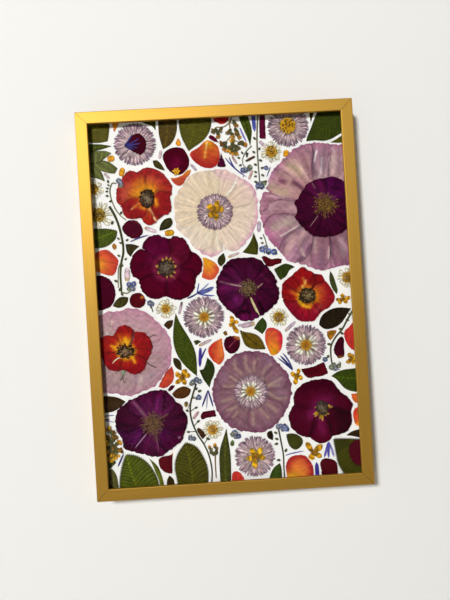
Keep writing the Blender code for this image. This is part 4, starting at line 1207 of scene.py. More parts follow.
def pale_flowers():
    cream = [(0, "D2B8A0"), (0.4, "E2CCB8"), (0.8, "E2CCBC"), (1, "DCBAB8")]
    pressed_flower("cream_flower", "cream_petal", (-4, 70), LAYER_1, [
        ((23, 48.5), (28, 87), cream),
        ((-18, 39.2), (0.8, 39.2), [(0, "DCC4A6"), (0.6, "E0CCB4"), (0.9, "DEC6BA"), (1, "DAB4BA")],
            [(0.6, 43.5), (-1, 50)]),
        ((2, 39.2), (26, 53), cream, None, [(-3.5, 52), (0.2, 44)]),
        ((-35.9, 65), (-18, 39.5), [(0, "DCC4A6"), (0.6, "E0CEB8"), (1, "E2CEC0")]),
        ((29, 86), (-7, 103.2), [(0, "D0B494"), (0.6, "E0C8B6"), (0.9, "DEC2BA"), (1, "DAB2BA")], [(-6, 88)]),
        ((-6, 103.2), (-36, 64), [(0, "D0B494"), (0.5, "E0CCB0"), (1, "E0CAB4")]),
    ], strokes=[
        ("D9A2BC", 1.6, 0.85,
            [(20, 94.6), (27, 88.5), (30.3, 79), (29.8, 66), (27.5, 57), (23, 49), (16, 41.5)]),
        ("DCA6BC", 1.5, 0.8, [(-18, 40), (-9, 35), (-3, 37)]), ("D8AABC", 3.2, 0.4, [(1, 100), (13, 96)]),
        ("F2EBDD", 0.7, 0.8, [(-4, 54), (-2.5, 40)]), ("F4F0E8", 0.9, 1.0, [(1, 39.5), (1.6, 42.5)]),
        ("F4EDE0", 0.5, 0.55, [(-10, 54), (-15, 45)]), ("F4EDE0", 0.5, 0.55, [(-14, 58), (-25, 50)]),
        ("F4EDE0", 0.5, 0.4, [(-16, 62), (-30, 57)]),
        ("F4F0E6", 0.8, 0.95, [(6, 83), (10, 87), (13, 91), (15, 95.5)]),
        # A08C7C is painted shadow along the side of the pale slit.
        ("A08C7C", 0.6, 0.6, [(7.3, 82.3), (11.5, 86.3), (14.3, 91)]),
        ("C4AE92", 1.2, 0.35, [(-8, 88), (-7, 101)]),
    ], step=0.06, pleat=0.06, streak=0.05, crease=0.05, shade=0.14, ruffle=0.4)
    rosy = [(0, "8A5A68"), (0.3, "B0848C"), (0.7, "B07E8C"), (1, "A06880")]
    warm = [(0, "8A5A68"), (0.4, "B08890"), (0.8, "B8929A"), (1, "AC6E8C")]
    grey = [(0, "7A5462"), (0.5, "8A606E"), (0.85, "986A7C"), (1, "985E7C")]
    pressed_flower("ruffled_flower", "pink_petal", (84, 70), LAYER_1 - 0.1, [
        ((75, 19.2), (108, 22), [(0, "8A5A68"), (0.6, "B8849A"), (1, "C88CA6")]),
        ((108, 22), (108, 80), rosy),
        ((91, 20.3), (108, 21.9), grey, None, [(86.6, 46), (86.8, 36), (88.5, 27)]),
        ((61, 25), (86, 19.3), [(0, "8A5A68"), (0.6, "B8849A"), (1, "C490A2")], [(86, 36), (86, 50)]),
        ((72.5, 20.8), (79.5, 18.8), grey, [(83.5, 24), (85.8, 33), (86, 45)],
            [(72.5, 47), (71.4, 37), (71.2, 28)]),
        ((44, 38), (60, 25.6), [(0, "8A6876"), (0.5, "94707E"), (0.8, "A87A90"), (1, "B48498")],
            [(64.5, 28), (69.5, 33.5), (71.8, 40), (74, 52)], [(70, 60), (62, 55), (50, 47)]),
        ((34, 57.5), (45, 37), [(0, "98707C"), (0.6, "A07C88"), (0.9, "B07890"), (1, "B87898")],
            [(50, 47), (62, 55)], [(70, 66), (60, 64.5), (50, 66), (41, 65), (37, 62)]),
        ((32.5, 76), (34, 57), warm, [(37, 62), (41, 65), (50, 66), (60, 64.5)],
            [(68, 74), (52, 77), (44, 76.5)]),
        ((36, 84), (31.9, 68), rosy, [(37.5, 71), (39, 74), (44, 76.5), (52, 77), (60, 75)],
            [(66, 76), (58, 77.5), (50, 79.5), (43, 82.5)]),
        ((108, 74), (89, 118), warm),
        ((90.5, 118), (73, 119.8), [(0, "8A5A68"), (0.4, "A8888E"), (0.8, "9C7888"), (1, "A87088")], None,
            [(88, 93), (88.5, 102.5), (91, 112)]),
        ((76, 119.6), (38.5, 85.5),
            [(0, "8A5A68"), (0.4, "B4868A"), (0.7, "B8908C"), (0.9, "A87888"), (1, "9A6480")],
            [(42.8, 82.2), (48.3, 79.4), (59.2, 76.7)], [(75.7, 92), (74.9, 101.7), (76.8, 112.6)]),
    ], strokes=[
        ("C8AE94", 4.0, 0.8, [(58, 104), (62, 101), (66, 98)]),
        ("C4A890", 3.2, 0.8, [(42, 88), (46, 84), (53, 81.5)]),
        ("BC8E90", 2.5, 0.6, [(50, 98), (60, 93), (70, 90)]), ("8A4A78", 1.6, 0.6, [(41.5, 96), (45, 101.5)]),
        ("6E3A52", 2.2, 0.85, [(50, 91.6), (52.5, 90.5)]),
        ("8E6070", 2.0, 0.6, [(68, 112), (72, 102), (73.5, 93)]),
        ("D0B0AC", 0.7, 0.6, [(62, 108), (68, 99), (72, 92)]),
        ("9A6A7C", 1.0, 0.5, [(53, 99), (61, 93), (68, 88)]),
        # 704A62 is the painted shadow that the top petal throws along the side of the one under it.
        ("C8AEA8", 2.2, 0.6, [(94, 108), (92, 96)]), ("704A62", 1.4, 0.7, [(76.8, 113), (76, 104), (77, 95)]),
        ("6E4660", 1.0, 0.6, [(90, 112), (88.3, 103), (88, 95)]),
        ("D8C4C8", 0.7, 0.7, [(92, 116), (94.5, 112)]),
        ("C8A0B0", 1.2, 0.5, [(38, 80), (52, 78.5)]),
        ("6A3850", 2.2, 0.85, [(60.5, 89.6), (64, 87.2), (68, 83.6)]),
        # A painted highlight.
        ("F0E4E8", 0.7, 0.95, [(80, 114), (78.8, 109.5), (78, 106)]),
        ("D4BCBC", 0.9, 0.5, [(82, 98), (80.5, 92)]), ("D4BCBC", 1.0, 0.5, [(90, 108), (86, 94)]),
        ("8A6A7A", 2.2, 0.6, [(85.5, 112), (84, 98)]), ("C8B8C4", 0.7, 0.8, [(84, 108), (82.5, 96)]),
        ("8E6878", 1.6, 0.5, [(74, 116), (76, 104)]), ("986A7E", 1.2, 0.5, [(66, 112), (70, 98)]),
        ("C08AA8", 2.0, 0.6, [(44, 99), (40.5, 92)]), ("A86090", 1.6, 0.5, [(44, 101), (50, 106)]),
        ("E8D4D0", 0.8, 0.9, [(47.5, 47.6), (57, 52.2), (64.5, 56)]),
        ("B8A898", 3.6, 0.7, [(43, 55), (50, 58), (56, 59)]),
        ("9A4A80", 2.0, 0.4, [(37.5, 51), (40, 47), (43.5, 42)]),
        ("C8A49C", 3.0, 0.7, [(58, 46), (54, 40), (51, 35)]),
        ("C8A49C", 1.8, 0.6, [(66, 50), (62, 42)]),
        # Painted shade in a fold.
        ("6A465C", 1.8, 0.8, [(70.5, 39), (67, 32.5), (61.5, 27.5)]),
        ("80546C", 1.2, 0.6, [(50.5, 42), (48, 35)]), ("B49C98", 2.0, 0.6, [(74.5, 43), (74.5, 35)]),
        ("84607A", 2.2, 0.6, [(79, 30), (78.5, 22)]), ("6E4860", 1.2, 0.7, [(88, 40), (88, 32), (91, 24)]),
        ("A48C98", 3.0, 0.6, [(96, 42), (97, 32)]), ("D8C0B8", 1.3, 0.7, [(86, 36), (85, 28)]),
        ("D6BEB2", 1.0, 0.7, [(63, 36), (65.5, 31)]),
        ("D8B4BC", 0.8, 0.6, [(42, 80.5), (50, 78.6), (58, 76)]), ("8E6474", 2.6, 0.5, [(44, 72), (54, 71)]),
        ("CC9CA8", 1.6, 0.6, [(33.5, 76), (34, 66)]), ("80505E", 0.9, 0.5, [(42, 68), (52, 67.4)]),
        ("7E5E70", 1.8, 0.5, [(98, 112), (97, 98)]),
    ],
    step=0.07, pleat=0.16, streak=0.1, crease=0.09, shade=0.5, ruffle=0.5, edge=("8E4A72", 0.8, 0.45), fold=9)
    lilac = [(0, "A8848C"), (0.5, "B8949C"), (0.9, "B68C9A"), (1, "AC7890")]

    def twigs(threads, gold, seeds, rng, lift):
        green, brown = "5A6450", "6A6050"
        stem(threads, [(-84, -53), (-84.6, -56), (-87, -59.5)], 0.8, LAYER_2 - 0.1, green)
        stem(threads, [(-84.8, -56), (-84.5, -60), (-83.5, -62)], 0.5, LAYER_2 - 0.1, brown)
        stem(threads, [(-67, -45), (-63, -48.5), (-58.5, -51)], 0.7, LAYER_2 - 0.1, "4E4436")
        stem(threads, [(-62, -27), (-59.5, -25.6), (-56.5, -25)], 0.5, LAYER_2 - 0.1, "5A5046")
        lay(seeds, BUD, (-84.3, -55.5), (-83.3, -50), 3.0, LAYER_2 - 0.1, 0.6, rgb("7E8E74"))

    pressed_flower("pale_lilac_flower", "pink_petal", (-78, -37), LAYER_1, [
        ((-47, -51), (-52, -18), lilac),
        ((-85, -72), (-46, -49), [(0, "A07E84"), (0.6, "AA888E"), (1, "AC8290")]),
        ((-108, -40), (-83, -72), [(0, "A07E84"), (0.6, "A88A8C"), (1, "A88090")]),
        ((-86, -4.8), (-108, -42), [(0, "B08C90"), (0.6, "B8989A"), (1, "B88498")]),
        ((-51, -19), (-88, -4.6), [(0, "A8848C"), (0.5, "BA989C"), (1, "B88498")]),
    ], strokes=[
        ("A890A0", 3.0, 0.5, [(-75, -59), (-66, -60), (-60, -56)]),
        ("C8B8B0", 1.8, 0.6, [(-72, -64), (-70, -58)]), ("9A7C8A", 0.8, 0.5, [(-96, -60), (-88, -64)]),
        ("9A7C8A", 0.7, 0.5, [(-82, -58), (-78, -62), (-70, -63)]),
        ("C488A8", 1.6, 0.6, [(-52, -17), (-46.5, -27), (-45.5, -38), (-48, -50)]),
        ("D8D4B0", 0.7, 0.7, [(-91, -12), (-91.5, -15)]),
        ("EAE2DE", 0.9, 0.7, [(-95.5, -21.5), (-95.2, -22.3)]),
        ("B890A8", 1.0, 0.5, [(-68, -8), (-66, -20)]),
    ],
    hearts=twigs, step=0.05, pleat=0.06, streak=0.04, crease=0.1, shade=0.1, ruffle=0.4,
    edge=("A85A88", 0.7, 0.5))
    dusk = [(0, "8A6A6E"), (0.5, "86606A"), (0.85, "805868"), (1, "70425A")]
    pale = [
        [(4.7, -49.2), (5.3, -55.6), (9.4, -59.8)], [(13.5, -46.8), (13.3, -53.3), (16.5, -59.2)],
        [(22.9, -49.2), (20.6, -52.1), (20, -59.2)], [(33.5, -54.5), (29.4, -57.4), (27, -61.5), (26.5, -66)],
        [(0.6, -62.1), (5.3, -65.6)], [(-4.7, -69.5), (3.5, -69.8)],
        [(41.2, -65.6), (35.9, -68.6), (31.2, -70.4)],
        [(30.6, -71.5), (39.4, -70.9)], [(30.6, -76.8), (35.9, -81.5), (44, -81.5)],
        [(-3.5, -88.6), (4.1, -86.8)],
        [(1.2, -94.5), (6.5, -89.8)], [(16.5, -91), (16.5, -101.5)], [(23.5, -89.8), (28.8, -96.8)],
        [(28.8, -85.6), (35.9, -92.1)], [(-7, -81.5), (1, -80)],
    ]
    pressed_flower("mauve_flower", "mauve_petal", (16.2, -75), LAYER_1, [
        ((40, -98), (49, -66), dusk),
        ((-9, -94), (22, -108), dusk),
        ((20, -108.3), (42, -95), dusk),
        ((-10, -59), (-8, -95), dusk),
        ((48, -65), (14, -42.6), dusk),
        ((16, -42.6), (-11, -61), dusk),
    ], strokes=[("B8A486", 1.2, 0.48, line) for line in pale] + [
        ("5E3A54", 1.6, 0.4, [(8, -46), (10, -56)]), ("5E3A54", 1.6, 0.4, [(33, -57), (27, -63)]),
        ("93708A", 3.0, 0.4, [(30, -48), (34, -54)]), ("93708A", 3.0, 0.4, [(-6, -66), (-4, -60)]),
        ("93788A", 4.0, 0.4, [(38, -66), (40, -76)]),
    ], step=0.06, pleat=0.06, streak=0.07, crease=0.07, shade=0.3, ruffle=0.6, edge=("6A2E52", 0.8, 0.6))


# ---------------------------------------------------------------- asters and loose daisies


def asters():
    lilac = ("785E73", "A58992", "CAB0B4")

    def gold_disc(petals, gold, seeds, rng, lift):
        dome(seeds, (58.3, 135.6), 6.4, lift, 0.25, ("B07A10", "D09A14", "DCA820"), 120, rng, "5A4010")

    def daisy_on(centre, disc, reach, count, wide):
        def top(petals, gold, seeds, rng, lift):
            stops = [(0, "7E7840"), (0.3, "D4CCA0"), (0.5, "F2EEDC"), (1, "F6F3E8")]
            lifts = (lift + 0.1, lift + 0.15)
            ray_ring(
                petals, centre, disc * 0.7, lambda turn: reach, count - 1, wide * 1.02, lifts, stops, rng,
                "daisy", 0.05, 0.18, 0.45, 0.08,
            )
            dome(seeds, centre, disc, lift + 0.1, 0.22, ("A06818", "B87C1A", "C88E24"), 80, rng)
        return top

    def floret(centre, tips, colour):
        def top(petals, gold, seeds, rng, lift):
            yellow_floret(gold, seeds, centre, tips, lift, rng, 4.8, colour)
        return top

    aster("aster_top_left", (-64.5, 127.3), 17.6, LAYER_1, lilac)
    aster("aster_top_right", (58.5, 135.3), 17.3, LAYER_1, lilac, gold_disc)
    aster(
        "aster_on_cream_flower", (-4, 70), 15.2, LAYER_2, lilac,
        floret((-4.5, 71), ((-9.5, 76), (-1, 79), (3.5, 72), (-3, 62.8), (-9.5, 66)), "D89A14"),
    )
    aster("aster_with_daisy_left", (-17.8, -13.3), 17.2, LAYER_1, lilac,
        daisy_on((-17.5, -13.3), 3.8, 9.2, 13, 2.2))
    aster("aster_with_daisy_right", (62.5, -40.5), 17.0, LAYER_1, lilac,
        daisy_on((62.5, -40.5), 4.3, 10.6, 13, 2.3))
    aster("aster_on_mauve_flower", (16.2, -75), 14.5, LAYER_2, ("7C5F70", "A68A94", "CBB3B8"),
        daisy_on((16, -74.5), 3.7, 9.2, 15, 1.9))
    aster(
        "aster_bottom", (16.5, -126.8), 17.0, LAYER_1, lilac,
        floret((16.5, -127), ((13.5, -120), (23, -120), (25, -129), (16, -136.5), (9.5, -128.5)), "DFA61C"),
    )


def loose_daisies():
    """Small daisies: cream straps with dull edges round a yellow disc."""
    stops = [(0, "8E7434"), (0.3, "D8CCA0"), (0.6, "F0EAD8"), (0.85, "F0EAD8"), (1, "DDD2AE")]
    for name, centre, disc, reach, colours in (
        ("daisy_left_upper", (-99.5, 93.5), 4.0, 9.5, ("9A7018", "B88820", "C89A30")),
        ("daisy_left_lower", (-97, 72.5), 5.6, 13, ("7E6418", "9A7A20", "A88A2C")),
        ("daisy_top", (44, 115.5), 4.6, 9.5, ("A87A14", "BE8C1C", "CC9C2C")),
        ("daisy_middle_left", (-47.5, -5), 3.4, 9, ("B8801C", "CC9428", "DCA83A")),
        ("daisy_right_upper", (99.5, 11.5), 4.6, 9.5, ("8E6414", "A87A1C", "B88A28")),
        ("daisy_middle", (42, -17), 4.2, 8.5, ("9A7014", "B0821C", "C0922C")),
        ("daisy_bottom", (-16, -103.5), 3.9, 9, ("B0781C", "C89028", "D8A238")),
    ):
        rng = random_for(name)
        petals = Heap(SKINS["white_petal"])
        seeds = Heap(SKINS["heart"], closed=True)
        ray_ring(
            petals, centre, disc * 0.6, lambda turn: reach, 14, 2.8, (LAYER_1, LAYER_1), stops, rng,
            "daisy", 0.06, 0.22, 0.42, 0.1,
        )
        dome(seeds, centre, disc, LAYER_1 + 0.12, 0.22, colours, 70, rng, "6A4A12")
        make_piece(name, [petals, seeds])


# ---------------------------------------------------------------- leaves and single petals

# Leaves with a CAD solid: its node, slot, colour, midrib from foot to tip, depth of teeth, mm between the
# side veins, and the midrib's tone.
LEAVES = (
    ("leaf_top_left", "green_leaf", "565C28", [(-95, 150), (-95, 130)], 0.12, 1.8, "none"),
    ("lobed_leaf", "green_leaf", "667A7C", [(-108, 113), (-96, 114), (-86, 118)], 0.15, 4.5, "dark"),
    ("brown_leaf_top", "brown_leaf", "4A421E", [(-39, 150), (-38, 138), (-41, 122.5)], 0.1, 3.2, "pale"),
    ("leaf_top_middle", "green_leaf", "535A20", [(-15, 150), (-18, 135), (-22, 120)], 0.4, 2.4, "none"),
    ("leaf_top_right", "green_leaf", "344812", [(106, 146), (90, 134), (73, 122.6)], 0.2, 2.8, "none"),
    ("long_leaf_middle", "green_leaf", "3C5210", [(-26, -60), (-34, -38), (-40, -9)], 0.1, 2.6, "none"),
    ("brown_leaf_right", "brown_leaf", "1E160A", [(75, -27), (86, -20), (100.5, -13.5)], 0.0, 5.0, "none"),
    ("leaf_right", "green_leaf", "354C14", [(108, -70), (95, -69), (81.3, -66.7)], 0.2, 3.0, "pale"),
    ("leaf_bottom_left", "green_leaf", "4C6018", [(-78, -150), (-82, -135), (-86, -119)], 0.8, 2.9, "pale"),
    ("leaf_bottom_middle", "olive_leaf", "454C0E", [(-34, -150), (-35, -132), (-38.3, -112.3)], 0.8, 2.9,
        "pale"),
    ("narrow_leaf_bottom", "green_leaf", "3D4824", [(-8, -150), (-7.5, -125), (-5, -103)], 0.15, 3.4, "pale"),
    ("leaf_bottom_right", "olive_leaf", "3E460C", [(128, -160), (104, -116)], 0.9, 2.7, "none"),
)

# Small leaves, mesh only: name, slot, colour, outline, midrib or None, depth of teeth, and the midrib's tone.
SMALL_LEAVES = (
    ("brown_leaf_left", "brown_leaf", "372612", [(-108, -71.5), (-97, -71.7), (-90, -73.2), (-83.7, -76.8),
     (-88.3, -81), (-94, -84), (-100, -84.8), (-108, -84.5)], [(-108, -78), (-83.7, -76.8)], 0.0, "none"),
    ("olive_leaf_middle", "olive_leaf", "695F18", [(10, -25), (14, -27), (19, -28), (25, -31), (28.3, -36),
     (30.3, -42), (26, -42), (20, -41.3), (14, -38), (12, -33)], [(10, -25), (19, -34), (30.3, -42)], 0.4,
     "dark"),
    ("leaf_left", "green_leaf", "465F23", [(-106, 61.8), (-98, 62), (-90, 61.5), (-82.5, 59.5), (-83.5, 54),
     (-87, 50), (-93, 46.8), (-99, 46.3), (-106, 47)], [(-108, 53), (-95, 55), (-82.5, 59.5)], 0.4, "pale"),
    ("green_wedge_left", "green_leaf", "465A28", [(-83, 127), (-92, 128.8), (-106, 129.5), (-106, 121.5),
     (-90, 125)], [(-106, 126), (-83, 127)], 0.0, "none"),
    ("green_sliver_top", "green_leaf", "46501E", [(-60, 150), (-47, 150), (-47.3, 137.5), (-50, 141),
     (-58, 145)], [(-53, 150), (-47.3, 137.5)], 0.0, "none"),
    ("dark_leaf_top", "olive_leaf", "3E3E1C", [(-51, 113.5), (-48, 113.7), (-44.5, 110.5), (-41.8, 105.2),
     (-46, 106.5), (-50, 109)], None, 0.0, "none"),
    ("long_green_leaf_top", "green_leaf", "445C19", [(19, 150), (20.5, 141), (23, 134), (26, 126),
     (27.3, 121), (28.5, 127), (29.3, 134), (28, 141), (24.5, 150)], [(21.5, 150), (26, 134), (27.3, 121)],
     0.0, "dark"),
    ("olive_triangle_top", "olive_leaf", "46411E", [(75.5, 150), (82, 150), (78, 140), (77, 137)], None,
     0.0, "none"),
    ("olive_leaf_right", "olive_leaf", "555F14", [(91.5, 120.5), (95, 122), (101.5, 125.5), (106, 127),
     (106, 120), (98, 119.8)], None, 0.2, "none"),
    ("dark_triangle_left", "olive_leaf", "34301C", [(-76.5, 48.3), (-71, 48), (-65.5, 46), (-70, 42.5),
     (-73, 38), (-75.5, 41)], None, 0.0, "none"),
    ("dark_leaf_centre", "olive_leaf", "2D3019", [(-49, 57.5), (-48, 62), (-44, 66.5), (-39.5, 67.2),
     (-38, 63.5), (-40, 60), (-44, 58.2)], [(-49, 57.5), (-39, 66)], 0.0, "none"),
    ("dark_leaf_left", "olive_leaf", "3C3E1E", [(-89.5, -0.3), (-87.5, 3), (-83, 6.5), (-77, 6), (-77.3, 3),
     (-80, -0.5), (-85, -2)], None, 0.0, "none"),
    ("brown_bit_left", "brown_leaf", "3E2D19", [(-50, -18), (-47, -14.8), (-42.3, -14.3), (-43.5, -19),
     (-46.5, -21.5)], None, 0.0, "none"),
    ("dark_leaf_middle", "olive_leaf", "322D14", [(-44, -44.5), (-41, -45), (-38.3, -48), (-38, -55),
     (-41.5, -53), (-44, -48.5)], [(-43, -44.5), (-38, -55)], 0.0, "none"),
    ("brown_oval", "brown_leaf", "523416", [(-46.5, -73), (-42, -69), (-36, -67.7), (-31.5, -70.5),
     (-33.5, -75), (-39, -77.2), (-44.5, -76)], [(-46.5, -73), (-31.5, -71)], 0.0, "none"),
    ("green_leaf_left_edge", "green_leaf", "3E4B1E", [(-106, -118), (-99, -119.5), (-94, -124.7),
     (-99, -129), (-106, -132)], [(-106, -125), (-94, -124.7)], 0.1, "none"),
    ("grey_leaf_left_edge", "green_leaf", "5A6458", [(-106, -131.5), (-97.5, -130), (-94.5, -135),
     (-93.3, -150), (-106, -150)], [(-100, -150), (-97.5, -130)], 0.0, "none"),
    ("thin_leaf_bottom", "green_leaf", "55691E", [(-68, -123), (-62, -129), (-59, -136), (-56.5, -150),
     (-60, -150), (-61, -141), (-63.5, -134), (-66, -127)], [(-58.5, -150), (-61, -136), (-68, -123)], 0.15,
     "pale"),
    ("brown_leaf_bottom", "brown_leaf", "342812", [(-52.5, -137.7), (-49.5, -141), (-48.7, -150),
     (-55, -150), (-54.5, -141)], None, 0.0, "none"),
    ("dark_green_leaf", "green_leaf", "323719", [(1, 36.8), (2.3, 31.5), (1, 28.5), (-2, 26), (-4, 29),
     (-3.5, 33)], [(-2, 26), (1, 36.8)], 0.0, "none"),
    ("green_triangle", "green_leaf", "465014", [(26, 52), (27.5, 47), (29, 42), (28, 33.7), (21, 35),
     (16, 36.5), (20, 40.5), (23.5, 45.5)], [(28, 34), (26, 52)], 0.1, "dark"),
    ("green_leaf_centre", "green_leaf", "324B23", [(29, -16.5), (31.5, -19.5), (32, -24), (28, -29.8),
     (24, -26.5), (21.5, -25), (25.5, -19.5)], [(28, -29.8), (29, -16.5)], 0.0, "none"),
    ("green_bit", "green_leaf", "3E4B28", [(-27, -32), (-24, -31.3), (-21, -32.8), (-25.5, -35.5)], None,
     0.0, "none"),
    ("green_leaf_middle", "green_leaf", "283A16", [(-17, -45.8), (-13, -50), (-11.5, -55), (-12.5, -60),
     (-15, -65), (-16.5, -70), (-18.5, -67), (-21, -63), (-23, -58), (-24, -55), (-21, -55)], [(-16.5, -70),
     (-17, -45.8)], 0.2, "none"),
    ("brown_sliver", "brown_leaf", "412816", [(-27.5, -101), (-24.5, -103), (-21.5, -107.5),
     (-24.5, -110.5), (-27, -106.5), (-28.5, -102.5)], None, 0.0, "none"),
    ("dark_oval", "brown_leaf", "1E120C", [(28, -108), (31, -107.3), (32, -111), (31.5, -115), (28, -113),
     (27, -110)], None, 0.0, "none"),
    ("dark_green_kite", "green_leaf", "2D4114", [(40.5, 21.5), (45, 23.8), (50, 25.5), (54, 24.3),
     (57.5, 22.3), (53, 20), (50, 15.5), (47, 13.5), (45, 12.5), (43, 16)], [(45, 12.5), (54, 24)], 0.15,
     "none"),
    ("thin_green_leaf", "green_leaf", "4B5F58", [(85.5, 17.5), (87.5, 14), (89.5, 7), (90.5, 1),
     (89.5, -1.3), (86.5, 3), (84.8, 8), (84.5, 13)], [(89.5, -1.3), (87, 8), (85.5, 17.5)], 0.0, "dark"),
    ("dark_leaf_right", "brown_leaf", "2D2314", [(90.5, -114.8), (95, -112), (101.5, -110.5), (106, -110),
     (106, -118), (101.5, -117.2), (95, -115.5)], [(106, -114), (90.5, -114.8)], 0.0, "none"),
    ("green_leaf_bottom", "green_leaf", "3C4619", [(42.5, -111), (46, -110.3), (51, -111.5), (55, -115),
     (55.5, -118), (53, -122), (49, -123.7), (45, -121), (43, -116)], [(50, -123.7), (46, -110.3)], 0.25,
     "none"),
    ("green_leaf_corner", "green_leaf", "37552D", [(36, -133.5), (37, -137), (36.5, -150), (25.5, -150),
     (28, -142), (31.5, -136.5)], [(30, -150), (36, -133.5)], 0.0, "none"),
)

ORANGE_RIM, GOLD = "A01C24", "DC9A14"

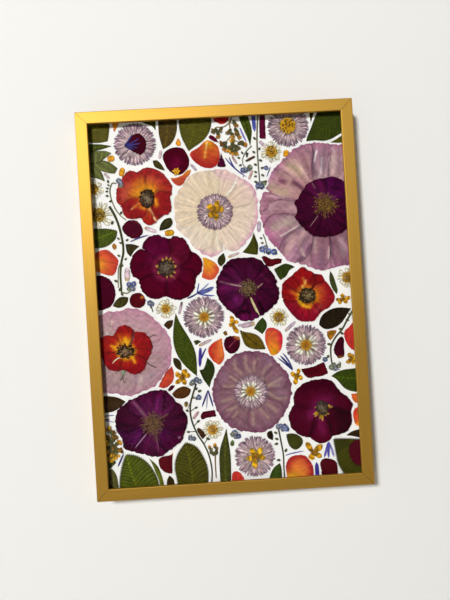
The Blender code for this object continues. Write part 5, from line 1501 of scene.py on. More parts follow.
# Single petals: name, slot, colour, outline and strokes. The foot is the first point. None stands for the
# outline of the CAD solid of the same name.
SINGLE_PETALS = (
    ("petal_on_aster", "maroon_petal", "3C0216", None, [("5A0826", 3, 0.5, [(-64, 130)])]),
    ("maroon_petal_top", "maroon_petal", "460016", None, [("74083A", 4.0, 0.6, [(-33, 108), (-32, 112)])]),
    ("orange_petal_top", "orange_petal", "AE361E", None, [("981418", 4.0, 0.9, [(-21, 114), (-14, 107),
     (-6, 104.5), (1, 107)]), ("A02018", 2.6, 0.9, [(1.5, 108), (3, 114), (1.5, 121)]), ("C63C30", 2.0, 0.7,
     [(-20.5, 119), (-21, 113)]), (GOLD, 4.0, 0.85, [(-7, 126), (-4, 124)]), ("E88A30", 4, 0.5, [(0, 118)]),
     ("F0D8A0", 0.7, 0.9, [(-7, 126), (-9.5, 114)]), ("D07818", 2.6, 0.6, [(-9, 120), (-9, 115)]),
     ("B8401E", 0.5, 0.4, [(-3, 126), (-1, 112)])]),
    ("orange_petal_middle", "orange_petal", "CC562E", None, [("C8143C", 3.2, 0.9, [(43.5, -31), (43.5, -38),
     (42, -43)]), ("D22C3C", 2.0, 0.7, [(34, -25.5), (40, -26.5)]), (GOLD, 4.5, 0.95, [(36, -46),
     (37, -43)]), ("E88A28", 5, 0.6, [(35, -38)]), ("C83A3C", 1.5, 0.5, [(31, -30), (30.6, -36)])]),
    ("petal_on_leaf", "maroon_petal", "4B0519", [(91.5, -128), (93, -122), (97, -119), (101.5, -118.5),
     (106, -119), (106, -140), (101, -139.3), (96, -138), (93.5, -134)], []),
    ("maroon_petal_left", "maroon_petal", "42021C", [(-108, 25), (-99, 24.5), (-95, 23.6), (-90, 20),
     (-87.3, 14), (-87, 9), (-88.5, 3), (-91, -0.3), (-96, -2.5), (-108, -3)], []),
    ("orange_petal_bottom", "orange_petal", "DE7A34", [(40.8, -136), (43, -131), (47, -128.5), (51, -128),
     (56.5, -129), (60, -133), (62.5, -138.5), (61.5, -150), (41.5, -150), (40.8, -141)], [(ORANGE_RIM, 4.2,
     0.95, [(42, -141), (41.5, -136), (44, -131), (50, -128.5), (56.5, -129.5), (60, -133.5), (62.2, -139),
     (61.5, -150)]), ("E8B022", 6, 0.95, [(44, -146), (48, -148)]), ("D86432", 4, 0.5, [(52, -134)])]),
    ("orange_bit_top", "orange_petal", "E6960A", [(-82, 150), (-73, 150), (-78.5, 141), (-80.5, 138)], []),
    ("orange_teardrop", "orange_petal", "E8A014", [(-30, 130.5), (-32, 126), (-30.5, 124.3), (-28.5, 124.3),
     (-28, 127)], []),
    ("red_petal_top", "red_petal", "A51414", [(-1.5, 150), (-0.5, 143), (3, 140.5), (7, 139.8), (10.5, 142),
     (13.5, 150)], []),
    ("maroon_sliver_top", "maroon_petal", "5A0528", [(-5.5, 130), (-4, 131.5), (-1, 130), (2.5, 125),
     (-1.5, 126.5), (-4.5, 128.5)], []),
    ("orange_triangle", "orange_petal", "B8462A", [(-38, 99), (-33, 99), (-28, 101), (-24, 104.3),
     (-21, 104.5), (-22, 102), (-25.5, 97.5), (-29, 93), (-32, 92.5), (-35, 94.5)], [("A83A28", 1.5, 0.6,
     [(-38, 98), (-32, 93)]), ("E0922A", 3.0, 0.9, [(-25, 103.4), (-21.5, 104.2)]), ("D8742A", 1.3, 0.7,
     [(-37, 98.8), (-31, 99.6), (-26, 102.6)])]),
    ("maroon_triangle_top", "maroon_petal", "46052D", [(3.5, 117.3), (4.5, 114), (6, 109.5), (7, 106),
     (5.5, 105.4), (1, 105.8), (-0.3, 106.5), (2, 111)], []),
    ("maroon_strip_top", "maroon_petal", "550A2D", [(37, 150), (40.8, 150), (40, 126), (35.5, 126.8)], []),
    ("maroon_petal_small", "maroon_petal", "48081E", [(-74, 66.5), (-68, 66.8), (-63.5, 63), (-62.3, 57),
     (-66, 53), (-71, 52.7), (-76, 56), (-78.5, 61), (-76.5, 64.5)], [("7A4A20", 1.2, 0.8, [(-66.5, 66)])]),
    ("yellow_brown_bit", "yellow_petal", "A07828", [(-87, 48.5), (-85.5, 49.5), (-84, 48), (-84.2, 45),
     (-85.8, 44.5), (-87, 46)], []),
    ("orange_petal_left", "orange_petal", "C8462D", [(-106, 38), (-100, 42.5), (-95, 44.7), (-91, 44.3),
     (-87.5, 41.5), (-83.3, 36), (-85, 28.5), (-87, 24.8), (-90, 24), (-95, 25.5), (-101, 28),
     (-106, 29.5)], [("E89A28", 6, 0.9, [(-105, 33), (-98, 33)]), ("B82E28", 1.8, 0.7, [(-88, 41),
     (-84, 36), (-86, 27)])]),
    ("maroon_petal_spotted", "maroon_petal", "520814", [(-76, 3.5), (-74, 7.5), (-70, 9), (-66, 8),
     (-63.7, 4.5), (-64, 0), (-67, -2.8), (-72, -2.5), (-75, -0.5)], [("D8862A", 1.2, 0.9, [(-65.3, 5.6),
     (-66.2, 5.2)])]),
    ("orange_red_petal", "orange_petal", "B83C28", [(-45.5, -51), (-44.2, -56), (-45, -62), (-49, -66.5),
     (-53, -68), (-57, -66.5), (-54, -61), (-50, -55)], [("D9603A", 2.5, 0.5, [(-48, -60)])]),
    ("maroon_bit", "maroon_petal", "460A19", [(-50, -69.5), (-47, -66.5), (-44, -66.3), (-45.5, -69),
     (-48.5, -71)], []),
    ("maroon_petal_bottom_left", "maroon_petal", "550814", [(-60, -124), (-57, -122.5), (-50, -121),
     (-48.5, -119), (-49.5, -125), (-49.8, -131), (-50.3, -136), (-54, -135.8), (-58, -133), (-60, -129)],
     [("D87A28", 1.1, 1.0, [(-48.6, -119.8), (-49, -121)])]),
    ("orange_petal_centre", "orange_petal", "DC7832", [(-16, 34.5), (-11, 32.5), (-6, 29), (-3.3, 24),
     (-5.5, 19.5), (-8.5, 16.3), (-12, 16), (-17.5, 18.5), (-16, 24), (-15.5, 30)], [(GOLD, 5, 0.9,
     [(-15, 33), (-12, 30)]), ("CD4A32", 3, 0.85, [(-4.5, 25), (-6, 20), (-10, 17), (-16, 19)])]),
    ("yellow_brown_oval", "yellow_petal", "7A5A1C", [(-3, -26), (-1.5, -25.2), (0, -26.5), (0.2, -28.5),
     (-1.2, -29.3), (-2.8, -28)], [("3A3A18", 1, 0.7, [(-2.4, -26.4)])]),
    ("maroon_petal_tipped", "maroon_petal", "3C0519", [(-3, -37), (-2.5, -33), (0, -30.3), (5, -29.8),
     (9.5, -31), (10, -36), (8, -41), (4, -43.8), (1, -43.5), (-1.5, -41)], [("C8782A", 1.6, 0.9,
     [(6.5, -30.5), (9, -32)]), ("A0465A", 0.5, 0.7, [(7.5, -32), (1, -38.5)])]),
    ("red_orange_petal", "orange_petal", "D25A30", [(-4.5, -31), (-9, -33), (-13, -35.5), (-16, -40),
     (-14.5, -45.5), (-11, -50), (-7.5, -52), (-4.5, -49), (-3.3, -46), (-4, -38)], [("B8281E", 3, 0.85,
     [(-12, -35.5), (-15.5, -40), (-13.5, -46)]), ("E8863A", 2.4, 0.7, [(-5, -33), (-5.5, -44)])]),
    ("maroon_bar", "maroon_petal", "4B0519", [(-25, -92.5), (-23, -89), (-19, -88.3), (-13.5, -88),
     (-12.5, -93), (-18, -93.5), (-24, -95)], []),
    ("red_petal_bottom", "red_petal", "C83228", [(-3, -150), (-2.5, -140), (-1, -138), (3, -138.5),
     (6, -142.5), (7.5, -150)], []),
    ("maroon_boomerang", "maroon_petal", "550812", [(31, 31.8), (33, 32.7), (39, 29.8), (44, 30),
     (47.3, 29.3), (46.5, 26.5), (42, 25), (37, 23.7), (34.5, 25)], []),
    ("yellow_brown_triangle", "yellow_petal", "AA7314", [(80, -31), (84, -30), (87.8, -30.5), (86, -34),
     (82, -38), (80.3, -35)], [("5A4418", 0.9, 0.7, [(82, -33), (85, -32)]), ("4A4A20", 0.7, 0.6,
     [(80.5, -33), (81.5, -37)])]),
    ("maroon_petal_right", "maroon_petal", "3C0519", [(91.5, -35.5), (93, -37), (92.8, -44), (92.5, -51.5),
     (88, -52.8), (86, -50), (84.5, -46), (86, -41.5), (89, -37)], [("8A5A1C", 1.1, 0.9, [(87.5, -52),
     (92, -51.7)])]),
    ("red_petal_right_edge", "red_petal", "C3322D", [(101, -25), (97, -29), (94, -31.5), (94, -37),
     (96, -42.5), (99, -46), (101.5, -47.5), (106, -49), (106, -22)], [("B02028", 1.5, 0.6, [(95, -32),
     (95, -40)])]),
    ("maroon_slab", "maroon_petal", "550514", [(57.5, -59.5), (66, -58.5), (72, -56.5), (76, -54.8),
     (77.5, -59), (79, -64), (74, -66), (68, -66.5), (63, -67), (59, -63)], [("3C0010", 2.5, 0.6,
     [(60, -62), (70, -62)])]),
    ("orange_bit_right_edge", "orange_petal", "DC692D", [(96.5, -82), (106, -81.5), (106, -88),
     (101.5, -89.5), (98, -87.5)], []),
    ("orange_petal_right_edge", "orange_petal", "D75028", [(98, -95), (101, -92.5), (106, -91), (106, -109),
     (101.5, -108.5), (98.5, -106), (97, -100)], [("E8A028", 2.6, 0.9, [(99, -107), (104, -107)]),
     ("C8302A", 1.4, 0.6, [(98, -98), (99, -94)])]),
    ("maroon_petal_bottom", "maroon_petal", "4B0512", [(68.5, -135), (71, -132.5), (77, -132.8),
     (81.5, -136), (82, -140), (81.5, -150), (69, -150), (68.8, -141)], []),
)


def leaves_and_petals():
    for name, slot, colour, midrib, teeth, vein_gap, rib in LEAVES:
        heap = Heap(SKINS[slot])
        vein = 0.45 if teeth > 0.5 else 0.3
        leaf(heap, even(rim_of(name)), colour, midrib, random_for(name), vein_gap, teeth, rib, vein)
        make_piece(name + "_pressed", [heap], (name,))
    for name, slot, colour, outline, midrib, teeth, rib in SMALL_LEAVES:
        heap = Heap(SKINS[slot])
        outline = even(curve_through(outline, True))
        midrib = midrib or [outline[0], outline[len(outline) // 2]]
        leaf(heap, outline, colour, midrib, random_for(name), 2.2, teeth, rib, 0.25)
        make_piece(name, [heap])
    for name, slot, colour, outline, strokes in SINGLE_PETALS:
        heap = Heap(SKINS[slot])
        replaced = outline is None
        outline = even(rim_of(name)) if replaced else even(curve_through(outline, True))
        lift = LAYER_2 if name in ("petal_on_aster", "petal_on_leaf") else LAYER_1
        edge = ("1E0008" if slot == "maroon_petal" else "8A1410", 0.5, 0.45)
        stops = [(0, colour), (1, colour)]
        petal(heap, outline, outline[0], lift, stops, random_for(name), strokes, (), 0.05, 0.07, edge, 0.06)
        make_piece(name + "_pressed" if replaced else name, [heap], (name,) if replaced else ())


# ---------------------------------------------------------------- slivers, florets and sprigs

GREEN = "4A5030"


def slivers(name, slot, lift, items):
    """Loose straps on the card: foot, tip, width, foot colour, tip colour, and bend if any."""
    rng = random_for(name)
    heap = Heap(SKINS[slot])
    for foot, tip, wide, colour, tip_colour, *bend in items:
        stops = [(0, colour), (0.3, tip_colour), (1, tip_colour)]
        tone = 1 + rng.normal(0, 0.05)
        strap(heap, foot, tip, wide, lift, stops, "sliver", tone, bend[0] if bend else 0, 0.3, 0.3, 0.1)
    make_piece(name, [heap])


def loose_slivers():
    rose, brown, lilac = "D8C0CA", "A8845A", "C8B4C8"
    slivers("lilac_slivers", "lilac_petal", LAYER_1, [
        ((-44, 121.5), (-45.5, 114.5), 2.4, rose, rose), ((-90, 105.5), (-86, 101), 2.2, "C8A8A8", rose),
        ((-60.5, 60.5), (-51, 56.5), 3.2, brown, rose), ((-21, 109), (-16.5, 103.5), 2.2, rose, lilac),
        ((12.5, 113.5), (16, 107), 2.0, "8A5A5A", "B89AA0"),
        ((28, 101.5), (24.5, 94), 2.2, "B89078", "C8A0A0"),
        ((35, 124.5), (40, 119), 2.7, "B898A8", "D0B8C4"), ((31, 60.5), (30, 51.5), 3.2, rose, lilac),
        ((4.5, 33.3), (14, 36.3), 2.2, "C8A850", "D0B8B8"),
        ((-77, 19), (-76.5, 30), 4.6, "C8AE70", rose, 0.2),
        ((-34.5, -0.3), (-37.5, -10.5), 2.2, "3A1430", "D0B4C0"),
        ((-23, -36), (-12.5, -31.5), 2.5, "C8A860", rose),
        ((22.5, -20.7), (11, -22.6), 4.2, "C0A060", "C4A8B8"),
        ((46.5, -28.5), (55.5, -21), 2.7, "B8A080", "C8B0C4"),
        ((-31, -94), (-26, -88), 2.3, "C8A090", "C89AA0"), ((9, -22), (12, -21), 2.0, lilac, lilac),
    ])
    navy, violet, sky = "322D7A", "3A3296", "5A64B4"
    slivers("blue_slivers", "blue_petal", LAYER_1, [
        ((-72.5, 50), (-57.5, 54.5), 1.1, "3C3778", "4A4690", -0.5),
        ((7, 112.5), (23, 96.5), 1.1, navy, violet, 1.2),
        ((10, 113), (16, 101.5), 1.1, navy, violet, 0.8),
        ((20, 136), (24.5, 124.5), 1.5, "6A64B4", "7A74C0", 0.2),
        ((42.5, 103.5), (39, 95.5), 0.9, "5A5C8C", "6A6A96"),
        ((31, 150), (31.5, 132.3), 3.2, "3741AA", "4A55B0"),
        ((-22, -37.8), (-23.3, -53), 2.6, "4A3E9A", "3A2A8E"),
        ((-17.5, -38.5), (-21.7, -47), 1.3, "6A62B0", "3C2D96", 0.4),
        ((-18, -72), (-23.5, -85), 1.3, navy, "2E2672"), ((-18.2, -72), (-20, -87), 0.9, "7A76B0", "A8A6CC"),
        ((-17.8, -72), (-14.5, -85.5), 1.3, navy, "2E2672"),
        ((-106, -87.5), (-93, -87), 1.0, "2D2864", "7A78A8"),
        ((-106, -90.3), (-97, -90.5), 1.2, "2D2864", "4A4888"),
        ((-102, -90.5), (-93.3, -92.8), 0.9, "6A6898", "A0A0C0"),
        ((-88, -118.5), (-93, -128.3), 1.4, "4A46A0", "2D2882"),
        ((50.5, -60), (39, -49.2), 1.2, "23235F", "46468A", 0.3),
        ((50.3, -59.5), (41.2, -47.7), 1.7, "23235F", "2A2A6E", 0.4),
        ((50.6, -59.3), (43.2, -45.5), 1.4, "23235F", "50508C", 0.8),
        ((41, -127.6), (56, -125.2), 1.0, "4B4BA0", "6A6AB0", -0.4),
        ((76, -119.3), (71.8, -131.5), 2.0, "3C3796", "5A54A8"),
        ((76, -119.3), (75.2, -132), 2.0, "3C3796", "4A44A0"),
        ((76, -119.3), (79.6, -131.5), 1.8, "3C3796", "7A76B8", -0.5),
        ((65.5, -150), (65.4, -134.5), 3.3, "32208C", "3A2A96"),
        ((-30, 2.3), (-21.5, 6.2), 1.3, "3C3E6E", "32387A", 0.4), ((-22, 6), (-20, 14.3), 1.0, navy, sky),
        ((-22, 6.2), (-12, 13.7), 1.0, navy, "7882C0", 0.5),
        ((-22, 6), (-8.3, 10.2), 3.4, navy, "646EB8", 0.8),
        ((-21.5, 5.8), (-8, 3.3), 1.3, navy, sky, 0.7),
    ])
    slivers("blue_floret_on_aster", "blue_petal", LAYER_2 + 0.4, [
        ((-72.5, 126), (-66, 135), 1.2, "241E58", "322A74", 0.4),
        ((-72.5, 126), (-60.5, 131.5), 1.2, "241E58", "322A74", 0.3),
        ((-72.5, 126), (-60, 127.5), 1.3, "241E58", "3A3488"),
        ((-72, 126), (-62, 124), 1.2, "241E58", "322A74"),
        ((-72, 125.5), (-65, 122.5), 1.2, "241E58", "322A74"),
    ])
    slivers("gold_star_on_petal", "yellow_petal", LAYER_2, [
        ((-32.8, 103.2), tip, 1.9, "B06A16", "DCA01E")
        for tip in ((-36, 104.6), (-34, 106.2), (-31.2, 106.6), (-29.6, 104.2), (-31, 101.4), (-34.4, 100.8))
    ])
    slivers("orange_ovals", "orange_petal", LAYER_1, [
        ((-86.9, 116.6), (-81.1, 117.4), 5.0, "D88A20", "E6A01E"),
        ((-77, 102.6), (-75, 109.4), 4.4, "D88A20", "E6A01E"),
        ((-44.8, 55), (-37.2, 55.6), 5.0, "D88A20", "E1A516"),
        ((55.3, 110.8), (56.3, 116.2), 4.8, "D88A20", "F0A512"),
    ])


def yellow_florets():
    for name, centre, tips, wide in (
        ("yellow_floret_left", (-37.5, -60),
            ((-43, -56), (-34, -54), (-31, -59), (-35.5, -66.5), (-43.5, -65)), 4.4),
        ("yellow_floret_centre", (5, -20), ((3.7, -13.5), (9.8, -19), (9, -28), (2, -22), (3, -17)), 3.8),
        ("yellow_floret_right", (94, -5.5), ((94, -1), (88.5, -5.5), (91, -9.5), (97.5, -9), (100.5, -4)),
            3.8),
        ("yellow_floret_edge", (98, -53),
            ((96.2, -49), (100.5, -50.5), (94, -57), (99.5, -58.5), (103, -54)), 4.0),
        ("yellow_floret_small", (54, -64.5),
            ((48.8, -62), (55.8, -58.8), (51, -66), (58, -68), (51.8, -71.8)), 4.0),
        ("yellow_floret_bottom", (63, -127), ((58, -118), (71, -121), (70, -131), (61.5, -132.8)), 5.2),
    ):
        rng = random_for(name)
        gold = Heap(SKINS["yellow_petal"])
        seeds = Heap(SKINS["heart"], closed=True)
        yellow_floret(gold, seeds, centre, tips, LAYER_1, rng, wide, "E0A01C")
        make_piece(name, [gold, seeds])


def small_floret(petals, seeds, centre, radius, lift, colour, rng):
    """A forget-me-not: five round petals about a yellow eye."""
    centre = np.array(centre, float)
    stops = [(0, "B8B8A8"), (0.35, colour), (1, colour)]
    first = rng.uniform(0, 6)
    for i in range(5):
        way = heading(first + FULL_TURN * i / 5)
        tone = 0.86 + rng.normal(0, 0.16)
        foot, tip = centre + way * radius * 0.1, centre + way * radius
        strap(petals, foot, tip, radius * 0.85, lift + 0.03 * i, stops, "round", tone, 0, 0.4, 0.3)
    for _ in range(3):
        grain(seeds, centre + rng.normal(0, radius * 0.6, 2), radius * 0.4, lift - 0.1, "343C2C")
    grain(seeds, centre, radius * 0.35, lift + 0.2, "C8A83C")


def bud(seeds, foot, tip, wide, colour, lift):
    lay(seeds, BUD, foot, tip, wide, lift, 0.7, shades(BUD, [(0, "3A3E22"), (0.35, colour), (1, colour)]))


def sprig(name, stems, buds=(), florets=(), crowd=0):
    """A thin plant.

    A stem is (points, width, colour), a bud (x, z, long, degrees, colour), a floret (place, radius, colour).
    A bud without a colour is green. With crowd, each bud is a husk with so many coloured tufts.
    """
    rng = random_for(name)
    stalks = Heap(SKINS["stem"], closed=True)
    seeds = Heap(SKINS["stem"], closed=True)
    petals = Heap(SKINS["blue_petal"])
    eyes = Heap(SKINS["heart"], closed=True)
    for points, wide, colour in stems:
        stem(stalks, points, 1.3 * wide, LAYER_1, colour, wide)
    for x, z, long, degrees, *colour in buds:
        place = np.array((x, z), float)
        colour = colour[0] if colour else GREEN
        way = heading(math.radians(degrees)) * long / 2
        husk = rng.choice(["5E4420", "48341A", "6E5426"]) if crowd else colour
        long = 0.78 * long if crowd else long
        bud(seeds, place - way, place + way, long * 0.8, husk, LAYER_1 + 0.15)
        for side in (-0.5, 0.5):
            off = np.array([-way[1], way[0]]) * side
            bud(seeds, place - way * 1.1, place + way * 0.5 + off, long * 0.35, "4A4E2C", LAYER_1 + 0.3)
        tuft = [(0, "5A4A1C"), (0.55, colour), (1, colour)]
        for _ in range(crowd):
            fan = heading(math.radians(degrees + rng.uniform(-55, 55)))
            tip = place + long * rng.uniform(0.55, 0.95) * fan
            lift, tone = LAYER_1 + rng.uniform(0.5, 0.8), rng.uniform(0.7, 1.2)
            strap(petals, place, tip, long * 0.42, lift, tuft, "lobe", tone)
    for place, radius, colour in florets:
        small_floret(petals, eyes, place, radius, LAYER_1 + 0.25, colour, rng)
    make_piece(name, [stalks, seeds, petals, eyes])


def sprigs():
    blue, grey, slate = "6472AE", "76806A", "7C88A4"
    sprig("sprig_left_curved", [
        ([(-81, 97), (-84, 97.5), (-86, 94), (-86.5, 90), (-85.5, 84), (-83, 77), (-79, 71), (-75, 67.5)],
            0.8, "7E7A50"),
    ], [
        (-87.5, 99, 2.6, 100), (-87.5, 96, 2.0, 150), (-88.5, 93.5, 2.2, 170),
        (-89, 91, 2.2, 190), (-89, 87.5, 2.4, 170), (-86.5, 83, 2.4, 200), (-78.5, 73.5, 2.6, 50),
    ], [((-79, 99), 2.3, "8C9AB8"), ((-77, 97), 1.8, "7A8AB4"), ((-77.5, 94.8), 1.9, "8A9478")])
    sprig("sprig_left_thick", [
        ([(-87.5, 79), (-84, 72), (-81, 63), (-79.3, 54), (-78.5, 46), (-79, 40), (-80.5, 35), (-82, 25),
                (-82, 13)], 1.5, "42481F"),
        ([(-80.5, 35), (-83, 30), (-84, 22), (-84.3, 14)], 0.7, "8A8A5A"),
        ([(-82, 10.5), (-78, 9.2), (-74, 11)], 0.8, "7A7A48"),
        ([(-82, 14), (-82, 9)], 1.0, "42481F"),
    ], [
        (-86, 66, 3.0, 60), (-82, 53, 2.4, 130), (-80.5, 49.5, 2.2, 160), (-75, 51.5, 2.4, 30),
        (-82.5, 39.5, 2.4, 140), (-77, 36.5, 2.2, 40), (-80, 31.5, 2.0, 60), (-86, 19.5, 2.8, 150),
        (-83, 12.5, 3.0, 240), (-81.5, 8.5, 2.6, 300, "5A3A2A"),
    ], [((-75.5, 16), 2.3, blue), ((-72, 16.3), 2.2, "5A68A8"), ((-73, 12.6), 2.3, slate),
    ((-76, 12.5), 1.8, grey)])
    sprig("forget_me_not_left", [([(-59.3, -2), (-58.4, -5), (-58, -7)], 0.7, GREEN)],
        [(-59.3, -2.6, 2.2, 80)],
          [((-60, 0.3), 2.4, "6C78B0"), ((-58.3, -0.3), 1.9, slate)])
    sprig("sprig_top_brown", [
        ([(14, 145), (11.5, 140.5), (7, 137.5), (1, 137.5)], 0.8, "8A7448"),
        ([(14, 145), (12, 140), (12.5, 133), (13, 124)], 0.8, "8A7448"),
        ([(12.5, 133), (17, 130)], 0.7, "8A7448"),
        ([(13, 124), (9, 119)], 0.7, "8A7448"), ([(13, 124), (18, 120)], 0.7, "8A7448"),
        ([(12.4, 130), (7, 124)], 0.6, "8A7448"),
        ([(12.4, 128), (21, 123)], 0.6, "8A7448"), ([(1, 137.5), (-1.5, 135)], 0.6, "8A7448"),
        ([(12, 141), (16, 139)], 0.6, "8A7448"),
    ], [
        (-0.5, 134.8, 5.4, 200, "6A5A34"), (2.4, 131.5, 5.2, 290, "A8702A"), (4.6, 135.6, 4.6, 240, "5E5432"),
        (16, 139.4, 5.6, 290, "A8742A"), (11.2, 133.4, 5.2, 230, "6A5C34"), (13.4, 130.4, 5.0, 280, "B07C28"),
        (17, 133.6, 5.4, 300, "8A6A30"), (18.2, 130, 5.0, 290, "C8882A"), (6.3, 124, 5.6, 200, "7A4E24"),
        (7, 120.6, 5.0, 230, "9A5E24"), (13.2, 124, 5.4, 90, "E0A428"), (10.2, 119.4, 5.2, 250, "D0902A"),
        (12.6, 117.2, 5.0, 260, "C8882A"), (15.6, 117.2, 5.2, 280, "B07A26"),
        (16.6, 120.4, 5.2, 300, "5E5432"),
        (19.4, 124, 5.0, 40, "6A5A34"), (22, 122.6, 5.4, 330, "B06A20"), (12.6, 120.6, 4.6, 200, "6A5C34"),
    ], crowd=4)
    sprig("sprig_centre_curl", [
        ([(28.5, 121), (24, 117), (20.8, 111), (21, 106), (24, 103.5), (26.5, 104.5)], 0.7, "7A8068"),
        ([(24, 114), (24.2, 115.6), (25.5, 114.8)], 1.3, "1E1A12"),
        ([(25, 110), (30.5, 112.5)], 1.7, "5A3214"),
    ], [
        (17.5, 112, 2.4, 160), (18.5, 106, 2.4, 200), (20.5, 116, 2.4, 120),
        (24, 109.5, 2.6, 200, "1E1A12"), (24.2, 113.3, 2.4, 260, "2A2016"),
    ], [((20.5, 102), 2.4, "5A68A8"), ((22.5, 101.6), 2.0, slate), ((26, 104), 2.2, grey),
    ((25, 102.5), 1.8, "6C7890")])
    sprig("sprig_vertical", [
        ([(35.5, 150), (34, 138), (33, 125), (32.8, 110), (33.2, 92)], 1.0, "6E6E50"),
    ], [
        (31, 127, 2.6, 130), (34.5, 118.5, 2.4, 60), (29.8, 116, 2.6, 150), (35, 109, 2.8, 340),
        (30.5, 106, 2.6, 160), (36, 103, 2.6, 20), (30.3, 100, 2.4, 150), (36, 97, 2.6, 330),
        (30, 96.5, 2.4, 200), (30, 92, 2.8, 160), (38, 92, 2.6, 20),
    ], [((39, 102.8), 1.9, blue), ((31.7, 88.7), 2.4, blue), ((34.5, 88), 2.4, "6A78AE"),
    ((36.4, 90.6), 2.2, grey), ((33.5, 90.8), 2.0, slate)])
    sprig("sprig_blue_centre", [([(33.5, 50), (35, 45), (36, 40)], 0.7, "6A6C48")],
          [(31.5, 47, 2.2, 160), (32.3, 43, 2.2, 190)],
          [((32, 38), 2.6, "6478BE"), ((37, 36), 2.7, "6E80C2"), ((41.3, 35.3), 2.6, "5F73BE"),
              ((35, 39.6), 1.8, slate)])
    sprig("sprig_right", [
        ([(104, -12), (101, -16), (97, -22), (92, -30), (86, -36.5), (82.5, -43), (82, -50), (82.5, -57)],
            1.2, "464B28"),
        ([(84.5, -58), (88.5, -59), (89.5, -56.5), (88, -55.5)], 0.7, "5A5C3C"),
    ], [
        (99, -18, 2.8, 160), (97, -22.5, 2.8, 340), (91, -29.5, 3.2, 170), (92, -33, 2.8, 330),
        (81, -41, 3.0, 170), (79.5, -51, 3.0, 230), (88.8, -57.5, 2.4, 60),
    ], [((77, -53), 2.1, "6E82C0"), ((82, -59.5), 2.5, grey), ((85, -60.4), 2.5, slate),
    ((87.6, -58.8), 2.0, grey), ((84, -57.6), 1.9, "8A9470")])
    sprig("sprig_centre_left", [
        ([(-27, -66), (-30, -74), (-32.5, -82), (-33, -90), (-31.5, -98), (-28, -107), (-24, -114),
                (-21, -121),
          (-19, -130), (-18.5, -138), (-20, -150)], 1.1, "3C3E23"),
        ([(-33, -88), (-28.5, -85)], 0.6, "6A6A50"), ([(-31, -100), (-27, -96)], 0.6, "6A6A50"),
        ([(-29.5, -104), (-35.5, -104)], 0.6, "6A6A50"), ([(-24, -115), (-20.5, -110.5)], 0.6, "6A6A50"),
        ([(-31, -77), (-35.5, -87)], 0.4, "6A6A50"),
    ], [
        (-24.5, -72, 3.0, 20), (-27, -70, 2.4, 60), (-30, -77, 2.6, 330, "7A6420"), (-27.5, -78, 2.4, 280),
        (-36, -82, 4.4, 260, "A0701C"), (-35.5, -87, 2.6, 150), (-28, -85, 2.6, 20), (-27, -96, 2.8, 40),
        (-35.5, -104, 2.6, 170), (-20, -110.5, 3.2, 340),
    ], [
        ((-29.5, -64.6), 2.3, "6E7C8E"), ((-26.5, -62.6), 2.2, "6A78A6"), ((-24.3, -64.4), 2.2, slate),
        ((-31, -65.8), 1.7, grey),
        ((-25.5, -77), 2.2, "6272B0"), ((-34, -109), 2.2, slate), ((-31.5, -109.6), 2.0, "7482A6"),
    ])
    sprig("sprig_bottom_bells", [
        ([(-15, -122), (-15.5, -130), (-15.5, -142)], 0.9, "8C6E50"),
        ([(-15.2, -124), (-18.5, -121)], 0.8, "6A5636"),
    ], [
        (-18.2, -121, 4.4, 110, "6A4A26"), (-14.2, -121.3, 4.6, 80, "5A3E22"),
        (-16.3, -122.8, 3.6, 250, "5A4426"),
        (-19.3, -117.3, 3.6, 100, "C8861E"), (-15, -116.3, 4.2, 90, "D08A1C"),
        (-13.6, -118.8, 3.2, 60, "7A5A22"),
        (-17.6, -119, 2.6, 60, "A8A088"),
    ])
    sprig("forget_me_not_bottom", [([(0.5, -108), (1.6, -111.5)], 0.7, grey)],
        [(-1, -115, 4.6, 80, "55702E")],
          [((1.4, -107), 2.6, slate), ((-0.5, -108.2), 2.0, grey), ((4.3, -109.8), 2.2, "4650A0"),
              ((1.8, -110.3), 1.8, "8A94A4")])
    sprig("sprig_bottom_right", [
        ([(36.5, -106), (38, -117), (39.2, -127), (39, -137), (39.2, -150)], 1.0, "3C4128"),
    ], [
        (34, -109, 2.8, 150), (34.5, -114, 2.8, 160), (34, -118, 3.0, 190), (35, -131, 3.0, 170),
        (41.5, -123.5, 3.0, 60),
    ], [((36.6, -104.3), 2.4, "7884A0"), ((38.3, -103.6), 1.8, "5E6EAC"), ((41.4, -104.5), 2.5, blue),
    ((42.8, -106.4), 2.4, "5666B0"), ((40, -106.8), 1.8, slate)])
    sprig("sprig_left_brown", [([(-97, -97), (-96, -110), (-95, -120)], 1.0, "4A3E20")], [
        (-98, -99, 5.6, 120, "C8901E"), (-95.5, -101.5, 5.6, 70, "6A4A1C"), (-100, -104, 5.4, 160, "D8981E"),
        (-95, -106, 6.1, 60, "8A601C"), (-98.5, -108, 5.6, 200, "ECB020"), (-92, -109.5, 5.6, 30, "B88220"),
        (-96, -111.5, 5.6, 300, "7A561C"), (-92.5, -114.5, 5.9, 340, "C89020"),
        (-96.5, -116.5, 6.1, 250, "D89A1C"),
        (-93.8, -118.3, 5.6, 280, "E0A61E"), (-99.5, -112.5, 5.4, 180, "6A501E"),
        (-90.6, -115.6, 4.9, 10, "6A3E18"),
        (-101, -107.5, 4.9, 180, "C08A1E"), (-103, -103, 6.1, 150, "D8981E"),
        (-104, -111, 6.1, 200, "4A3A1C"),
        (-98, -120.5, 5.6, 260, "E0A61E"), (-102, -116, 5.9, 230, "9A6A20"),
        (-100.5, -118.5, 5.9, 250, "D89A1C"),
        (-95, -119.5, 5.9, 300, "E8B024"), (-98, -115, 5.6, 200, "E4A820"), (-99, -106, 5.4, 120, "B88420"),
    ], crowd=5)


# ---------------------------------------------------------------- stage, light and camera


def plain_matte(name, code):
    """Wall paint: flat, off-white."""
    return new_material(name, Roughness=0.95, Base_Color=linear(code))[0]


def quad(name, corners, material):
    mesh = bpy.data.meshes.new(name)
    mesh.from_pydata(corners, [], [tuple(range(len(corners)))])
    mesh.materials.append(material)
    add_object(name, mesh)


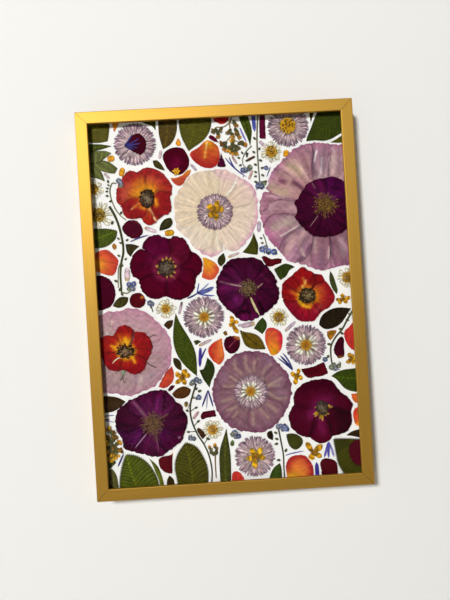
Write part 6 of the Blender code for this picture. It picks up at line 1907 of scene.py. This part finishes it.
def build_stage():
    """A painted wall with the frame hung on it, a side wall to each hand, and a floor below.

    The wall is open behind the frame, a little inside its outline, so that the back can be seen from behind.
    """
    wall_paint = plain_matte("wall_paint", "F0F2EF")
    side_paint = plain_matte("side_wall_paint", "D2D1CC")
    left, right = CAD_LOW.x + 2 * MM, CAD_HIGH.x - 2 * MM
    low, high = CAD_LOW.z + 2 * MM, CAD_HIGH.z - 2 * MM
    wide, top, floor = 3.0, MIDDLE_Z + 2.2, MIDDLE_Z - 0.7
    bands = {
        "wall_left": ((-wide, floor), (left, floor), (left, top), (-wide, top)),
        "wall_right": ((right, floor), (wide, floor), (wide, top), (right, top)),
        "wall_above": ((left, high), (right, high), (right, top), (left, top)),
        "wall_below": ((left, floor), (right, floor), (right, low), (left, low)),
    }
    for name, corners in bands.items():
        quad(name, [(x, 0.3 * MM, z) for x, z in corners], wall_paint)
    for name, x in (("side_wall_left", -wide), ("side_wall_right", wide)):
        quad(name, [(x, -wide, floor), (x, 0, floor), (x, 0, top), (x, -wide, top)], side_paint)
    quad(
        "floor",
        [(-wide, -wide, floor), (wide, -wide, floor), (wide, wide, floor), (-wide, wide, floor)],
        plain_matte("floor_paint", "BCB8B0"),
    )


def area_light(name, place, aim, size, power, colour):
    lamp = bpy.data.lights.new(name, "AREA")
    lamp.shape = "RECTANGLE"
    lamp.size, lamp.size_y = size
    lamp.energy = power
    lamp.color = linear(colour)[:3]
    obj = add_object(name, lamp)
    obj.location = place
    obj.rotation_euler = (Vector(aim) - Vector(place)).to_track_quat("-Z", "Y").to_euler()


def build_lights():
    middle = (0, FACE_Y, MIDDLE_Z)
    area_light("window_upper_left", (-1.36, -3.0, MIDDLE_Z + 1.36), middle, (0.5, 0.5), 113, "FCFBFD")
    area_light("back_soft", (-0.5, 1.3, MIDDLE_Z + 0.7), middle, (1.2, 1.2), 20, "FFFFFF")
    world = bpy.data.worlds.new("studio")
    bpy.context.scene.world = world
    world.use_nodes = True
    background = world.node_tree.nodes["Background"]
    background.inputs["Color"].default_value = linear("FFD29A")
    background.inputs["Strength"].default_value = 0.07
    bpy.context.scene.view_settings.view_transform = "Standard"


def build_camera():
    """The photograph's view: 27 mm lens for the long side, 354 mm in front of the face, turned a little."""
    camera = bpy.data.cameras.new("camera")
    camera.sensor_width = 36
    camera.sensor_fit = "AUTO"
    camera.lens = 27
    camera.clip_start = 0.01
    obj = add_object("camera", camera)
    obj.location = (-5.3 * MM, FACE_Y - 353.8 * MM, MIDDLE_Z - 1.2 * MM)
    obj.rotation_euler = [math.radians(degrees) for degrees in (90.07, 3.395, -0.83)]
    bpy.context.scene.camera = obj


# ---------------------------------------------------------------- everything


def main():
    build_camera()
    build_lights()
    build_stage()
    dress_frame()
    red_flowers()
    burgundy_flowers()
    roses()
    pale_flowers()
    asters()
    loose_daisies()
    leaves_and_petals()
    loose_slivers()
    yellow_florets()
    sprigs()


bpy.ops.object.select_all(action="DESELECT")
SKINS = make_skins()
STRAP, GRAIN, BUD = strap_form(), grain_form(), bud_form()
main()
